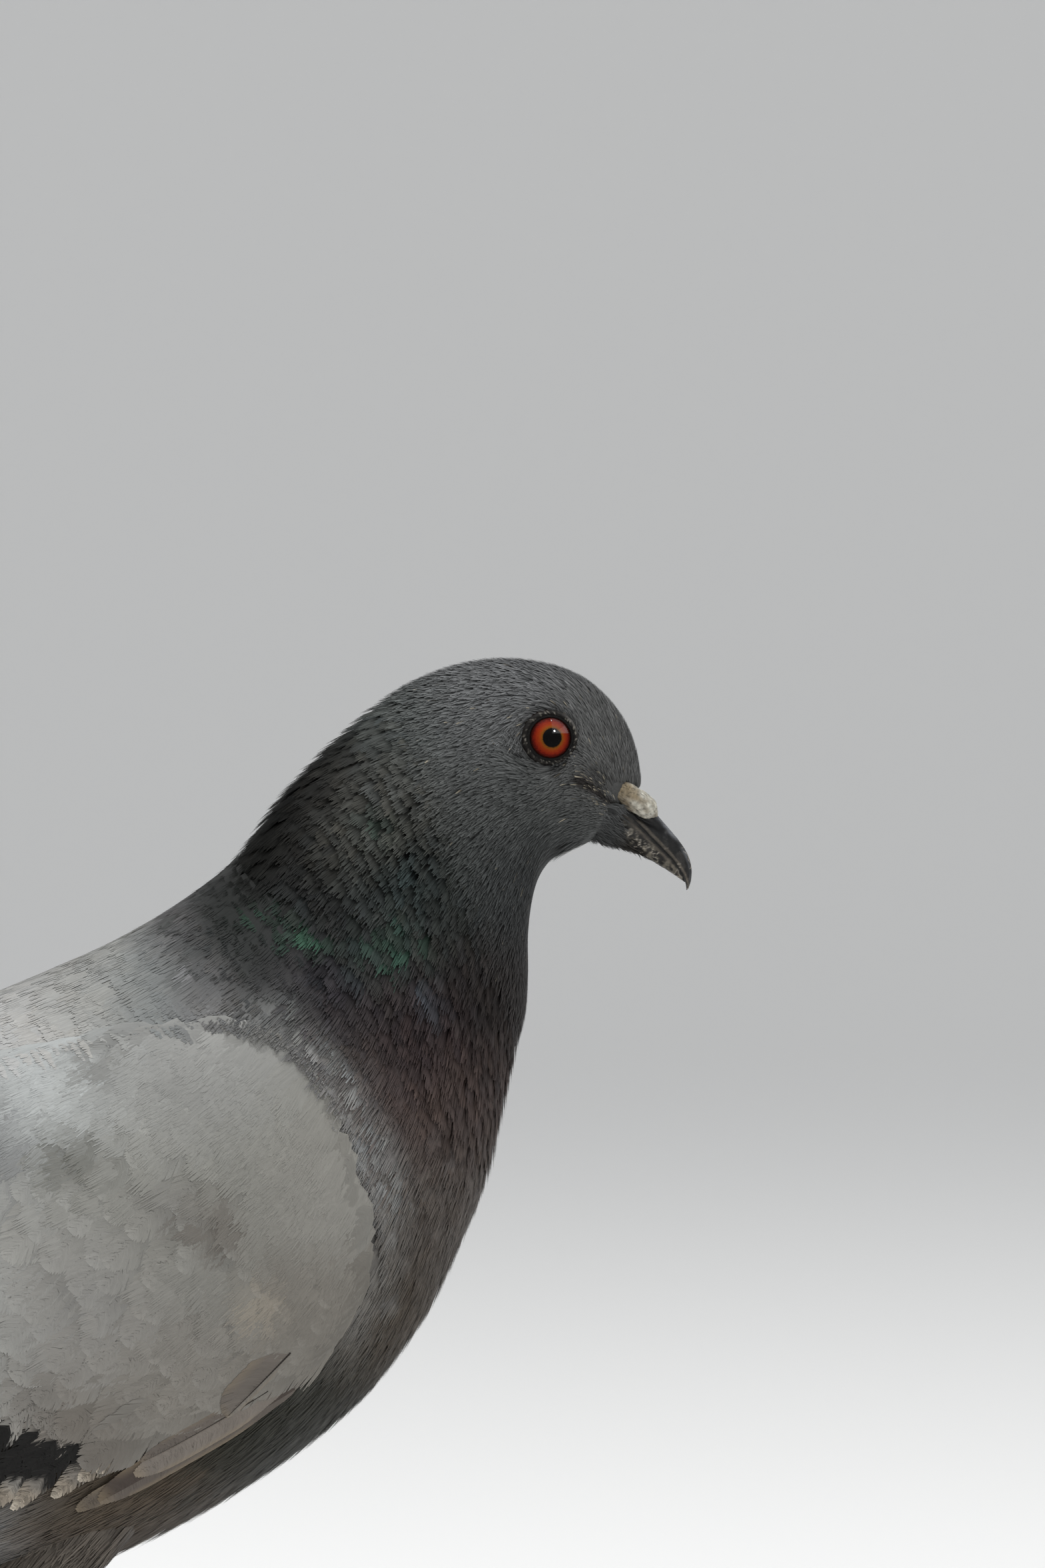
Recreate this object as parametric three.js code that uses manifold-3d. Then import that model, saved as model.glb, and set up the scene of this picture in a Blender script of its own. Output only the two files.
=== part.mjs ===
// A rock pigeon standing still, life size, in millimetres. +X is the way it faces, +Y its left
// side and +Z up; the floor is z = 0. Run it as an ES module with three and manifold-3d.
//
// Head, neck and torso are lengths of one loft through BODY, a list of stations. Each station is
// an oval in the plane that holds a line from the back (dorsal) outline to the front (ventral)
// outline. The folded wings lie on a second loft, FOLD, that wraps the torso and runs on beside
// the tail.
import * as THREE from "three";
import { mergeVertices } from "three/addons/utils/BufferGeometryUtils.js";
import Module from "manifold-3d";

const wasm = await Module();
wasm.setup();

const DEG = Math.PI / 180;
const GAP = 0.3; // between solids that touch
const SIDES = { right: -1, left: 1 }; // the sign of y on each side

// ---- driving dimensions ------------------------------------------------------------------

// Stations from the bill's root to the tail's root: [back x, back z, front x, front z, half width].
const BODY = [
  [126.6, 184.0, 117.0, 173.4, 4.6], // 0 the bill's root
  [125.4, 190.9, 111.5, 171.3, 8.0], // 1 forehead and chin
  [122.2, 197.5, 108.6, 168.4, 9.6],
  [116.0, 203.3, 106.9, 164.0, 10.8], // 3 over the eye
  [107.0, 206.4, 106.0, 157.0, 11.6], // 4 crown
  [97.0, 206.4, 106.0, 150.0, 13.2],
  [87.0, 203.4, 105.6, 143.0, 15.6], // 6 back of the head
  [77.0, 197.6, 104.2, 137.0, 18.5],
  [68.0, 189.6, 102.7, 130.0, 22.5], // 8 neck
  [59.8, 180.6, 101.0, 122.0, 27.5],
  [52.0, 169.8, 98.5, 112.0, 33.5], // 10 neck's root
  [43.0, 162.6, 94.0, 101.5, 38.5],
  [31.0, 155.6, 87.0, 87.0, 42.5], // 12 mantle and breast
  [17.0, 149.4, 74.0, 71.0, 44.5],
  [1.0, 142.5, 55.0, 57.0, 44.0], // 14 back and belly
  [-15.0, 134.0, 33.0, 45.5, 41.5],
  [-29.0, 124.5, 10.0, 39.0, 38.0],
  [-41.0, 115.0, -12.0, 38.5, 33.0], // 17 rump and vent
  [-51.5, 105.5, -32.0, 44.0, 27.5],
  [-60.0, 98.0, -48.0, 56.0, 22.0], // 19 the tail's root
];
const FULLNESS = 0.86; // under 1 squares the ovals off a little
const HEAD_ENDS = 5.4; // the stations where the loft is parted
const NECK_ENDS = 9.8;
const TORSO_ENDS = 19;
const PARTING = 0.03; // of a station, left free on each side of a parting

// The surface that the folded wings' feathers lie on, the same way, from station 9 on.
const FOLD_STARTS = 9;
const FOLD = [
  [59.8, 180.6, 101.0, 122.0, 27.8], // 9
  [52.0, 170.0, 98.5, 112.0, 34.4],
  [43.0, 163.0, 94.0, 101.0, 40.6],
  [31.0, 156.4, 87.0, 85.0, 46.0], // 12
  [17.0, 150.4, 74.0, 67.0, 49.0],
  [1.0, 143.8, 54.0, 50.0, 49.2],
  [-15.0, 135.6, 32.0, 37.0, 47.4], // 15
  [-30.0, 126.0, 9.0, 29.0, 44.4],
  [-43.5, 116.0, -13.0, 24.0, 40.6],
  [-56.0, 105.5, -35.0, 20.0, 37.0], // 18
  [-67.0, 95.0, -55.0, 17.0, 34.0],
  [-77.5, 84.0, -74.0, 14.0, 31.6],
  [-88.5, 72.0, -92.0, 10.0, 29.8], // 21
  [-100.0, 58.5, -108.0, 5.0, 28.8],
  [-112.0, 45.0, -122.0, -1.0, 28.2], // 23
  [-126.0, 30.0, -136.0, -9.0, 27.8],
];

// The folded wing's outline from the side: the wing's core fills it.
const WING_EDGE = {
  inner: 16, // nearest the middle plane
  shoulder: [51.0, 142.2], // where the wing leaves the shoulder feathers
  shoulderOut: [67.5, 140.5], // the curve's handles from one point to the next
  bendIn: [79.6, 122.0],
  bend: [79.8, 102.8], // the wrist, foremost
  bendOut: [78.2, 87.0],
  handIn: [60.2, 73.0],
  hand: [44.0, 60.5], // end of the hand
  belly: [10.5, 49.2], // lower edge over the flank
  heel: [-42.0, 37.5], // lower edge where the core ends
  rump: [-62.0, 88.0],
  saddle: [10.5, 135.7], // upper edge over the back
};

// The wing's feathers in rows, the lowest layer first. Each feather's shaft is a quadratic curve
// in the side view; a row's shafts pass evenly from the first, lowest one to the last, top one.
const WING_ROWS = [
  {
    name: "primaries",
    count: 7,
    first: [[60, 81], [8, 52], [-116, 25]],
    last: [[30, 94], [-22, 70], [-78, 51]],
    half: [5.2, 7.0],
    base: -0.75,
    rise: 0.8,
    quill: true,
  },
  {
    name: "secondaries and tertials",
    count: 7,
    first: [[18, 73], [-8, 60], [-44, 46]],
    last: [[-6, 121], [-36, 104], [-76, 76]],
    half: [6.0, 8.0],
    base: -0.5,
    rise: 1.1,
    quill: true,
  },
  {
    name: "primary coverts",
    count: 3,
    first: [[68, 83], [52, 70], [32, 60]],
    last: [[62, 92], [44, 80], [24, 72]],
    half: [4.6, 5.2],
    base: -0.4,
    rise: 0.9,
  },
  {
    name: "greater coverts",
    count: 7,
    first: [[44, 76], [28, 68], [6, 56]],
    last: [[10, 127], [-10, 116], [-38, 97]],
    half: [5.4, 7.6],
    base: -0.3,
    rise: 1.2,
  },
  {
    name: "median coverts",
    count: 6,
    first: [[57, 82], [44, 75], [28, 64]],
    last: [[26, 133], [8, 124], [-16, 110]],
    half: [6.0, 8.2],
    base: -0.3,
    rise: 1.2,
  },
  {
    name: "lesser coverts",
    count: 5,
    first: [[69, 90], [59, 84], [45, 75]],
    last: [[42, 138], [26, 131], [6, 121]],
    half: [6.8, 8.8],
    base: -0.3,
    rise: 1.2,
  },
  {
    name: "alula",
    count: 2,
    first: [[77, 90], [66, 78], [52, 69]],
    last: [[76, 97], [68, 88], [57, 80]],
    half: [3.2, 3.4],
    base: -0.3,
    rise: 1.0,
  },
];
// A vane: how far along its shaft each row of points lies, and its share of the full width.
const QUILL_VANE = [
  [0, 0.6],
  [0.5, 0.95],
  [0.86, 0.85],
  [1, 0.14],
];
const COVERT_VANE = [
  [0, 0.7],
  [0.55, 1.0],
  [0.88, 0.75],
  [1, 0.2],
];
const VANE_TILT = 0.35; // the lower edge lies over the next feather, the upper edge under
const VANE_SUNK = -1.2; // the underside, inside the core or the blade
const QUILL_THICK = 0.6;
const BLADE = { out: -0.7, inner: -1.7 }; // the stack of inner vanes behind the core

const BILL = { root: [121.8, 178.65], pitch: -46, length: 18.85 };
const EYE = { at: [109.3, 192.3], ball: 5.2, iris: 3.55, yaw: 12, proud: 0.55 };
const LID = { inner: 3.7, outer: 5.0, deep: 1.5, proud: 0.35 };
const CERE = {
  along: 0.75, // its middle, in the bill's own frame
  up: 4.2,
  out: 3.1,
  half: [4.2, 2.05, 2.3],
  yaw: 19, // the lobes close in forwards
  lean: 36, // degrees down from forwards
};

const TAIL = {
  root: [-54.0, 77.0],
  pitch: 35,
  length: 97,
  bare: 24, // where the vanes start, inside the coverts
  pairs: 6,
  spread: 1.7, // degrees between neighbours
  half: 7.6,
  rounds: 0.5, // the share of a vane after which its tip rounds off
  roof: 0.16, // fall of the fan per millimetre to the side
  thick: 0.7,
  step: 0.6, // each pair lies this much under the one inside it
};

// The coverts round its root: [along, top, bottom, half width].
const TAIL_COVERTS = [
  [-9, 24, -25, 21.0],
  [8, 16.5, -17.5, 20.0],
  [26, 9.0, -9.5, 18.4],
  [44, 3.6, -5.5, 17.0],
  [58, 0.6, -4.0, 15.0],
];

const LEG = {
  thigh: [
    [33, 18.5, 62, 12, 11.5],
    [22.5, 20.0, 49.5, 9.0, 9.6],
    [10, 21.0, 36, 4.2, 5.0],
  ],
  heel: [10.6, 21.0, 35.8],
  foot: [22.5, 21, 5.2], // the joint of tarsus and toes
  shank: 2.9, // tarsus half thickness
  scutes: 5,
};
// Toes: [name, length, heading in degrees outwards from forwards, half width, scutes]
const TOES = [
  ["inner", 21, -34, 2.1, 5],
  ["middle", 29, -3, 2.4, 7],
  ["outer", 24, 30, 2.1, 6],
  ["hind", 14, 168, 2.0, 3],
];
const CLAW = { length: 6.2, half: 1.25, droop: 1.5 };

// ---- materials ---------------------------------------------------------------------------

const finish = (color, roughness, metalness = 0) =>
  new THREE.MeshStandardMaterial({ color, roughness, metalness });
const MATERIAL = {
  slate: finish(0x45484a, 0.75),
  sheen: finish(0x2c3a38, 0.5),
  body: finish(0x5a5c5e, 0.8),
  wing: finish(0x9c9d99, 0.75),
  tail: finish(0x6a6d70, 0.7),
  horn: finish(0x2b2a2b, 0.4),
  cere: finish(0xb5aea0, 0.9),
  iris: finish(0xc4401a, 0.1),
  lid: finish(0x3a3a3c, 0.7),
  scale: finish(0x9c4a4a, 0.6),
  claw: finish(0x222022, 0.4),
};

// ---- solids ------------------------------------------------------------------------------

// Turns a closed three.js geometry into a manifold-3d solid, its faces pointing out.
function solidOf(geometry) {
  const bare = geometry.index ? geometry.toNonIndexed() : geometry.clone();
  const merged = mergeVertices(
    new THREE.BufferGeometry().setAttribute("position", bare.getAttribute("position")),
    1e-4,
  );
  const vertProperties = merged.attributes.position.array;
  const triVerts = new Uint32Array(merged.index.array);
  const made = new wasm.Manifold(new wasm.Mesh({ numProp: 3, vertProperties, triVerts }));
  if (made.volume() > 0) return made;
  for (let i = 0; i < triVerts.length; i += 3)
    [triVerts[i + 1], triVerts[i + 2]] = [triVerts[i + 2], triVerts[i + 1]];
  return new wasm.Manifold(new wasm.Mesh({ numProp: 3, vertProperties, triVerts }));
}

const largest = (solid) =>
  solid.decompose().reduce((a, b) => (a.volume() > b.volume() ? a : b));
const join = (solids) => solids.reduce((a, b) => a.add(b));
const cut = (solid, tools) => tools.reduce((a, b) => a.subtract(b), solid);

function geometryOf(points, faces) {
  const geometry = new THREE.BufferGeometry();
  geometry.setAttribute("position", new THREE.Float32BufferAttribute(points.flat(), 3));
  geometry.setIndex(faces.flat());
  return geometry;
}

const model = new THREE.Group();

function addNode(name, solid, material) {
  const { vertProperties, triVerts, numProp } = largest(solid).getMesh();
  const points = [];
  for (let i = 0; i < vertProperties.length; i += numProp)
    points.push([vertProperties[i], vertProperties[i + 1], vertProperties[i + 2]]);
  const geometry = geometryOf(points, [Array.from(triVerts)]);
  geometry.computeVertexNormals();
  const mesh = new THREE.Mesh(geometry, material);
  mesh.name = name;
  model.add(mesh);
}

// Rings of points, each a list of [x, y, z], skinned into one closed body with fanned ends.
function skinned(rings) {
  const count = rings[0].length;
  const middle = (ring) => [0, 1, 2].map((k) => ring.reduce((sum, p) => sum + p[k], 0) / count);
  const points = [...rings.flat(), middle(rings[0]), middle(rings.at(-1))];
  const [first, last] = [points.length - 2, points.length - 1];
  const faces = [];
  rings.slice(1).forEach((_, i) => {
    for (let j = 0; j < count; j++) {
      const [a, b] = [i * count + j, i * count + ((j + 1) % count)];
      faces.push([a, b, b + count], [a, b + count, a + count]);
    }
  });
  const end = (rings.length - 1) * count;
  for (let j = 0; j < count; j++) {
    const next = (j + 1) % count;
    faces.push([first, next, j], [last, end + j, end + next]);
  }
  return solidOf(geometryOf(points, faces));
}

// Two grids of points alike, an upper and a lower one, as one thin closed body. Both are split
// into triangles the same way.
function between(upper, lower) {
  const [rows, columns] = [upper.length, upper[0].length];
  const at = (level, i, j) => level * rows * columns + i * columns + j;
  const faces = [];
  const quad = (a, b, c, d) => faces.push([a, b, c], [a, c, d]);
  for (let i = 1; i < rows; i++)
    for (let j = 1; j < columns; j++) {
      const [a, b, c, d] = [[i - 1, j - 1], [i, j - 1], [i, j], [i - 1, j]];
      faces.push([at(0, ...a), at(0, ...b), at(0, ...c)], [at(0, ...a), at(0, ...c), at(0, ...d)]);
      faces.push([at(1, ...a), at(1, ...c), at(1, ...b)], [at(1, ...a), at(1, ...d), at(1, ...c)]);
    }
  const rim = [
    ...range(0, rows - 2, rows - 2).map((i) => [i, 0, i + 1, 0]),
    ...range(0, columns - 2, columns - 2).map((j) => [rows - 1, j, rows - 1, j + 1]),
    ...range(rows - 1, 1, rows - 2).map((i) => [i, columns - 1, i - 1, columns - 1]),
    ...range(columns - 1, 1, columns - 2).map((j) => [0, j, 0, j - 1]),
  ];
  for (const [i, j, k, l] of rim) quad(at(0, i, j), at(1, i, j), at(1, k, l), at(0, k, l));
  return solidOf(geometryOf([...upper.flat(), ...lower.flat()], faces));
}

// ---- splines and lofts -------------------------------------------------------------------

// Row t of a table of numbers, smoothly between its rows (uniform Catmull-Rom).
function rowAt(table, t) {
  const i = Math.min(Math.max(Math.floor(t), 0), table.length - 2);
  const u = t - i;
  const [p0, p1, p2, p3] = [i - 1, i, i + 1, i + 2].map(
    (k) => table[Math.min(Math.max(k, 0), table.length - 1)],
  );
  return p1.map((_, c) => {
    const [a, b] = [(p2[c] - p0[c]) / 2, (p3[c] - p1[c]) / 2];
    const d = p1[c] - p2[c];
    return p1[c] + u * (a + u * (-3 * d - 2 * a - b + u * (2 * d + a + b)));
  });
}

const range = (from, to, steps) =>
  Array.from({ length: steps + 1 }, (_, i) => from + ((to - from) * i) / steps);

// A point of a loft at station t and angle a, where a is 0 on the back, 90 degrees on the right
// side and 180 on the front. grow moves it out.
function loftPoint(table, t, a, grow = 0) {
  const [bx, bz, fx, fz, half] = rowAt(table, t);
  const chord = Math.hypot(fx - bx, fz - bz);
  const along = (chord / 2 + grow) * -Math.cos(a);
  const side = Math.sign(Math.sin(a)) * Math.abs(Math.sin(a)) ** FULLNESS * (half + grow);
  return [
    (bx + fx) / 2 + (along * (fx - bx)) / chord,
    -side,
    (bz + fz) / 2 + (along * (fz - bz)) / chord,
  ];
}

function loftThrough(table, stations, count, grow = 0) {
  const angles = range(0, 2 * Math.PI, count).slice(0, count);
  return skinned(stations.map((t) => angles.map((a) => loftPoint(table, t, a, grow))));
}

const loft = (table, from, to, steps, count) =>
  loftThrough(table, range(from, to, steps), count);

// A closed outline in the side view, [x, z] points, as a slab from y = near to y = far.
function slab(outline, near, far) {
  const shape = new THREE.Shape(outline.map(([x, z]) => new THREE.Vector2(x, z)));
  const depth = Math.abs(far - near);
  const geometry = new THREE.ExtrudeGeometry(shape, { depth, bevelEnabled: false, steps: 1 });
  geometry.rotateX(Math.PI / 2); // z of the extrusion runs along -y
  geometry.translate(0, Math.max(near, far), 0);
  return solidOf(geometry);
}

// ---- flesh -------------------------------------------------------------------------------

const torsoStations = range(NECK_ENDS + PARTING, TORSO_ENDS, 14);
const torso = loftThrough(BODY, torsoStations, 28);
// The same with the gap around it, for cutting what lies on it.
const torsoGrown = loftThrough(BODY, [...torsoStations, TORSO_ENDS + 0.04], 28, GAP);
const billAxis = new THREE.Vector2(Math.cos(BILL.pitch * DEG), Math.sin(BILL.pitch * DEG));

// A point in the bill's own frame: a along it from the root, b up from its middle line, y across.
const billPoint = (a, b, y) => [
  BILL.root[0] + a * billAxis.x - b * billAxis.y,
  y,
  BILL.root[1] + a * billAxis.y + b * billAxis.x,
];

// The bill's halves: [a, top b, bottom b, half width]; sides bulge by the oval's own shape.
const UPPER_BILL = [
  [-0.4, 6.0, 1.2, 3.9],
  [4, 5.3, 1.0, 3.5],
  [7.8, 5.1, 1.0, 2.8],
  [11.6, 4.85, 1.7, 2.4],
  [14.2, 4.3, 1.6, 2.0],
  [16.4, 3.2, 1.1, 1.5],
  [18.0, 1.6, 0.35, 0.85],
  [18.85, 0.1, -0.3, 0.25],
];
const LOWER_BILL = [
  [-0.4, 0.8, -5.8, 3.7],
  [4, 0.6, -3.8, 3.3],
  [7.8, 0.6, -2.1, 2.5],
  [11.6, 1.25, -1.0, 2.0],
  [14.2, 1.2, -0.3, 1.6],
  [16.6, 0.65, 0.15, 0.8],
];

// Half the bill, D-shaped across: flat where the halves meet, the other side round.
function billHalf(rows, steps, count, flat) {
  const angles = range(0, 2 * Math.PI, count).slice(0, count);
  return skinned(
    range(0, rows.length - 1, steps).map((t) => {
      const [a, top, bottom, half] = rowAt(rows, t);
      const [level, depth] = flat === "bottom" ? [bottom, top - bottom] : [top, bottom - top];
      return angles.map((angle) => {
        const b = level + Math.max(Math.cos(angle), 0) * depth;
        return billPoint(a, b, Math.sin(angle) * half);
      });
    }),
  );
}

// One swollen lobe of the soft skin over the nostrils.
function cereLobe(side, grow = 0) {
  const ball = new THREE.SphereGeometry(1, 12, 8);
  ball.scale(...CERE.half.map((reach) => reach + grow));
  ball.rotateZ(-side * CERE.yaw * DEG);
  ball.rotateY(CERE.lean * DEG);
  return solidOf(ball.translate(...billPoint(CERE.along, CERE.up, side * CERE.out)));
}

// The eye looks sideways and a little forwards. Its own +Z axis is that line of sight.
function faceOut(geometry, side) {
  geometry.rotateX(side * -90 * DEG);
  geometry.rotateZ(side * -EYE.yaw * DEG);
  const [x, z] = EYE.at;
  return geometry.translate(x, side * eyeDepth(), z);
}

// The head's half width at the eye, less what the ball stands back from it.
function eyeDepth() {
  const hit = sideOf(BODY, 0, ...EYE.at);
  const opening = Math.sqrt(EYE.ball ** 2 - LID.inner ** 2);
  return hit.y + EYE.proud - opening;
}

// Where a point of the side view lies on a loft: its station, angle and half width there.
function sideOf(table, first, x, z) {
  const across = (t) => {
    const [bx, bz, fx, fz] = rowAt(table, t - first);
    return (fx - bx) * (z - bz) - (fz - bz) * (x - bx);
  };
  let [low, high] = [first, first + table.length - 1];
  const sign = Math.sign(across(low));
  for (let i = 0; i < 40; i++) {
    const t = (low + high) / 2;
    if (Math.sign(across(t)) === sign) low = t;
    else high = t;
  }
  const [bx, bz, fx, fz] = rowAt(table, low - first);
  const share = ((x - bx) * (fx - bx) + (z - bz) * (fz - bz)) / ((fx - bx) ** 2 + (fz - bz) ** 2);
  const a = Math.acos(1 - 2 * THREE.MathUtils.clamp(share, 0, 1));
  return { t: low, a, y: -loftPoint(table, low - first, a)[1] };
}

// A body turned about the line of sight: [radius, height over the eyeball's middle].
function turned(profile, side) {
  const geometry = new THREE.LatheGeometry(profile.map(([r, h]) => new THREE.Vector2(r, h)), 15);
  return solidOf(faceOut(geometry.rotateX(90 * DEG), side));
}

// The ring of bare skin round the eye; its inside follows the ball.
function lidRing(side) {
  const { inner, outer, deep, proud } = LID;
  const lip = Math.sqrt(EYE.ball ** 2 - inner ** 2);
  const clear = (radius) => [radius, Math.sqrt((EYE.ball + GAP) ** 2 - radius ** 2)];
  return turned(
    [clear(inner), [inner + 0.15, lip + proud], [(inner + outer) / 2, lip + proud + 0.15],
      [outer, lip - 0.35], [outer, lip - deep], clear(inner + 0.75), clear(inner)],
    side,
  );
}

const OVER_EYE = 9; // over the eyeball's middle, outside the head

// What the ball and the ring take out of the head.
function eyeSocket(side) {
  const { outer, deep } = LID;
  const radius = EYE.ball + GAP;
  const lip = Math.sqrt(EYE.ball ** 2 - LID.inner ** 2) - deep - GAP;
  const bowl = [155, 130, 105].map((turn) => [
    radius * Math.sin(turn * DEG),
    radius * Math.cos(turn * DEG),
  ]);
  const mouth = [[radius, lip], [outer + GAP, lip], [outer + GAP, OVER_EYE], [0, OVER_EYE]];
  return turned([[0, -radius], ...bowl, ...mouth], side);
}

function eyeBall(side) {
  const ball = new THREE.SphereGeometry(EYE.ball, 15, 10);
  return solidOf(faceOut(ball.rotateX(90 * DEG), side));
}

function buildHead() {
  const sockets = Object.values(SIDES).flatMap((side) => [eyeSocket(side), cereLobe(side, GAP)]);
  // The line of the mouth runs back from the bill to the gape below the eye.
  const mouth = Object.values(SIDES).map((side) => {
    const line = [
      [-7.0, 0.9],
      [-3.0, 1.5],
      [2.0, 1.35],
      [2.0, 0.75],
      [-3.0, 0.9],
    ].map(([a, b]) => billPoint(a, b, 0)).map(([x, , z]) => [x, z]);
    return slab(line, side * 5.6, side * 12);
  });
  const head = loft(BODY, 0, HEAD_ENDS - PARTING, 16, 24);
  addNode("head", cut(head, [...sockets, ...mouth]), MATERIAL.slate);
}

// All that lies behind the head's front face, for cutting the bill's root flush with it.
function behindFace() {
  const [bx, bz, fx, fz] = BODY[0];
  const [ux, uz] = [(bx - fx) / 10, (bz - fz) / 10];
  const [nx, nz] = [billAxis.x, billAxis.y];
  const corner = (k, d) => [(bx + fx) / 2 + k * ux + d * nx, (bz + fz) / 2 + k * uz + d * nz];
  return slab([corner(9, GAP), corner(-9, GAP), corner(-9, -15), corner(9, -15)], -15, 15);
}

function buildBill() {
  const lobes = Object.values(SIDES).map((side) => cereLobe(side, GAP));
  // Each nostril is a slit under the lobe.
  const slits = Object.values(SIDES).map((side) => {
    const line = [
      [0.6, 2.2],
      [6.6, 3.9],
      [6.9, 3.45],
      [0.6, 1.7],
    ].map(([a, b]) => billPoint(a, b, 0)).map(([x, , z]) => [x, z]);
    return slab(line, side * 1.9, side * 8);
  });
  const upper = billHalf(UPPER_BILL, 10, 10, "bottom");
  const lower = billHalf(LOWER_BILL, 8, 10, "top");
  addNode("bill_upper", cut(upper, [...lobes, ...slits, behindFace()]), MATERIAL.horn);
  addNode("bill_lower", cut(lower, [behindFace()]), MATERIAL.horn);
}

// ---- wings -------------------------------------------------------------------------------

function wingOutline() {
  const e = WING_EDGE;
  const v = ([x, z]) => new THREE.Vector2(x, z);
  const path = new THREE.Path();
  path.moveTo(...e.shoulder);
  path.bezierCurveTo(...e.shoulderOut, ...e.bendIn, ...e.bend);
  path.bezierCurveTo(...e.bendOut, ...e.handIn, ...e.hand);
  path.splineThru([v(e.belly), v(e.heel)]);
  path.lineTo(...e.rump);
  path.splineThru([v(e.saddle), v(e.shoulder)]);
  return path.getPoints(5).map((p) => [p.x, p.y]).slice(0, -1);
}

function wingCore(side) {
  const shell = loft(FOLD, 0, 11, 12, 24);
  const leaf = slab(wingOutline(), side * WING_EDGE.inner, side * 60);
  return cut(shell.intersect(leaf), [torsoGrown, tailCoverts(GAP), thigh(side, GAP)]);
}

// The blade of folded quills behind the core, inside the vanes that show.
function wingBlade(side) {
  const outline = [[-30, 46], [-30, 104], [-68, 76], [-104, 34], [-104, 27]];
  const outer = loftThrough(FOLD, range(5, 14.2, 9), 24, BLADE.out);
  const inner = loftThrough(FOLD, range(4, 14.4, 10), 24, BLADE.inner);
  return cut(outer.intersect(slab(outline, side * 9, side * 60)), [inner]);
}

// A point of the side view at height h over the wings' surface.
function overFold(x, z, h, side) {
  const { t, a } = sideOf(FOLD, FOLD_STARTS, x, z);
  const [px, py, pz] = loftPoint(FOLD, t - FOLD_STARTS, a, h);
  return [px, -side * py, pz];
}

const quadratic = ([p, q, r], s) =>
  [0, 1].map((k) => (1 - s) ** 2 * p[k] + 2 * s * (1 - s) * q[k] + s ** 2 * r[k]);

// One vane of a wing row. Its columns run from the lower edge over the shaft to the upper edge.
function wingVane(row, share, side) {
  const blend = (a, b) => a + (b - a) * share;
  const shaft = row.first.map((p, i) => p.map((v, k) => blend(v, row.last[i][k])));
  const half = blend(...row.half);
  const grids = (row.quill ? QUILL_VANE : COVERT_VANE).map(([s, wide]) => {
    const [x, z] = quadratic(shaft, s);
    const [ax, az] = quadratic(shaft, s - 0.02);
    const [bx, bz] = quadratic(shaft, s + 0.02);
    const length = Math.hypot(bx - ax, bz - az);
    const [nx, nz] = [-(bz - az) / length, (bx - ax) / length];
    return [1, 0, -1].map((edge) => {
      const w = edge * half * wide;
      const top = row.base + row.rise * s + edge * VANE_TILT * wide + (edge ? 0 : 0.12);
      const under = row.quill && s > 0.5 ? top - QUILL_THICK : VANE_SUNK;
      return [top, Math.min(under, top - QUILL_THICK)].map((h) => overFold(x + nx * w, z + nz * w, h, side));
    });
  });
  return between(grids.map((r) => r.map(([top]) => top)), grids.map((r) => r.map(([, under]) => under)));
}

function buildWings() {
  for (const [name, side] of Object.entries(SIDES)) {
    const vanes = WING_ROWS.flatMap((row) =>
      range(0, 1, row.count - 1).map((share) => wingVane(row, share, side)),
    );
    const solid = join([wingCore(side), wingBlade(side), ...vanes]);
    addNode(`wing_${name}`, cut(solid, [torsoGrown, tailCoverts(GAP), thigh(side, GAP)]), MATERIAL.wing);
  }
}

// ---- tail --------------------------------------------------------------------------------

// A point in the tail's own frame: a along it from its root, b up from its plane, y across.
const tailAxis = new THREE.Vector2(-Math.cos(TAIL.pitch * DEG), -Math.sin(TAIL.pitch * DEG));
const tailPoint = (a, b, y) => [
  TAIL.root[0] + a * tailAxis.x + b * tailAxis.y,
  y,
  TAIL.root[1] + a * tailAxis.y - b * tailAxis.x,
];

// The coverts above and below the tail's root, thinning to the feathers.
function tailCoverts(grow = 0) {
  const angles = range(0, 2 * Math.PI, 22).slice(0, 22);
  return skinned(
    range(0, TAIL_COVERTS.length - 1, 8).map((t) => {
      const [a, top, bottom, half] = rowAt(TAIL_COVERTS, t);
      return angles.map((angle) => {
        const b = (top + bottom) / 2 + Math.cos(angle) * ((top - bottom) / 2 + grow);
        return tailPoint(a, b, Math.sin(angle) * (half + grow));
      });
    }),
  );
}

// One tail feather: pair 0 is the middle one. The vanes follow a low roof, each pair under the
// one inside it.
function rectrix(pair, side) {
  const turn = (pair + 0.5) * TAIL.spread * DEG;
  const length = TAIL.length - 0.9 * pair;
  const grid = (drop) =>
    COVERT_VANE.map(([s, wide]) => {
      const a = TAIL.bare + (length - TAIL.bare) * s;
      const half = TAIL.half * (s > TAIL.rounds ? wide : 0.85);
      const middle = a * Math.tan(turn);
      return [-1, 0, 1].map((edge) => {
        const y = Math.max(middle + edge * half, -0.4 * (1 + pair / 6));
        return tailPoint(a, -TAIL.roof * Math.abs(y) - pair * TAIL.step - drop, side * y);
      });
    });
  return between(grid(0), grid(TAIL.thick));
}

function buildTail() {
  const vanes = Object.values(SIDES).flatMap((side) =>
    range(0, TAIL.pairs - 1, TAIL.pairs - 1).map((pair) => rectrix(pair, side)),
  );
  addNode("tail", join([cut(tailCoverts(), [torsoGrown]), ...vanes]), MATERIAL.tail);
}

// ---- legs --------------------------------------------------------------------------------

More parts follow.
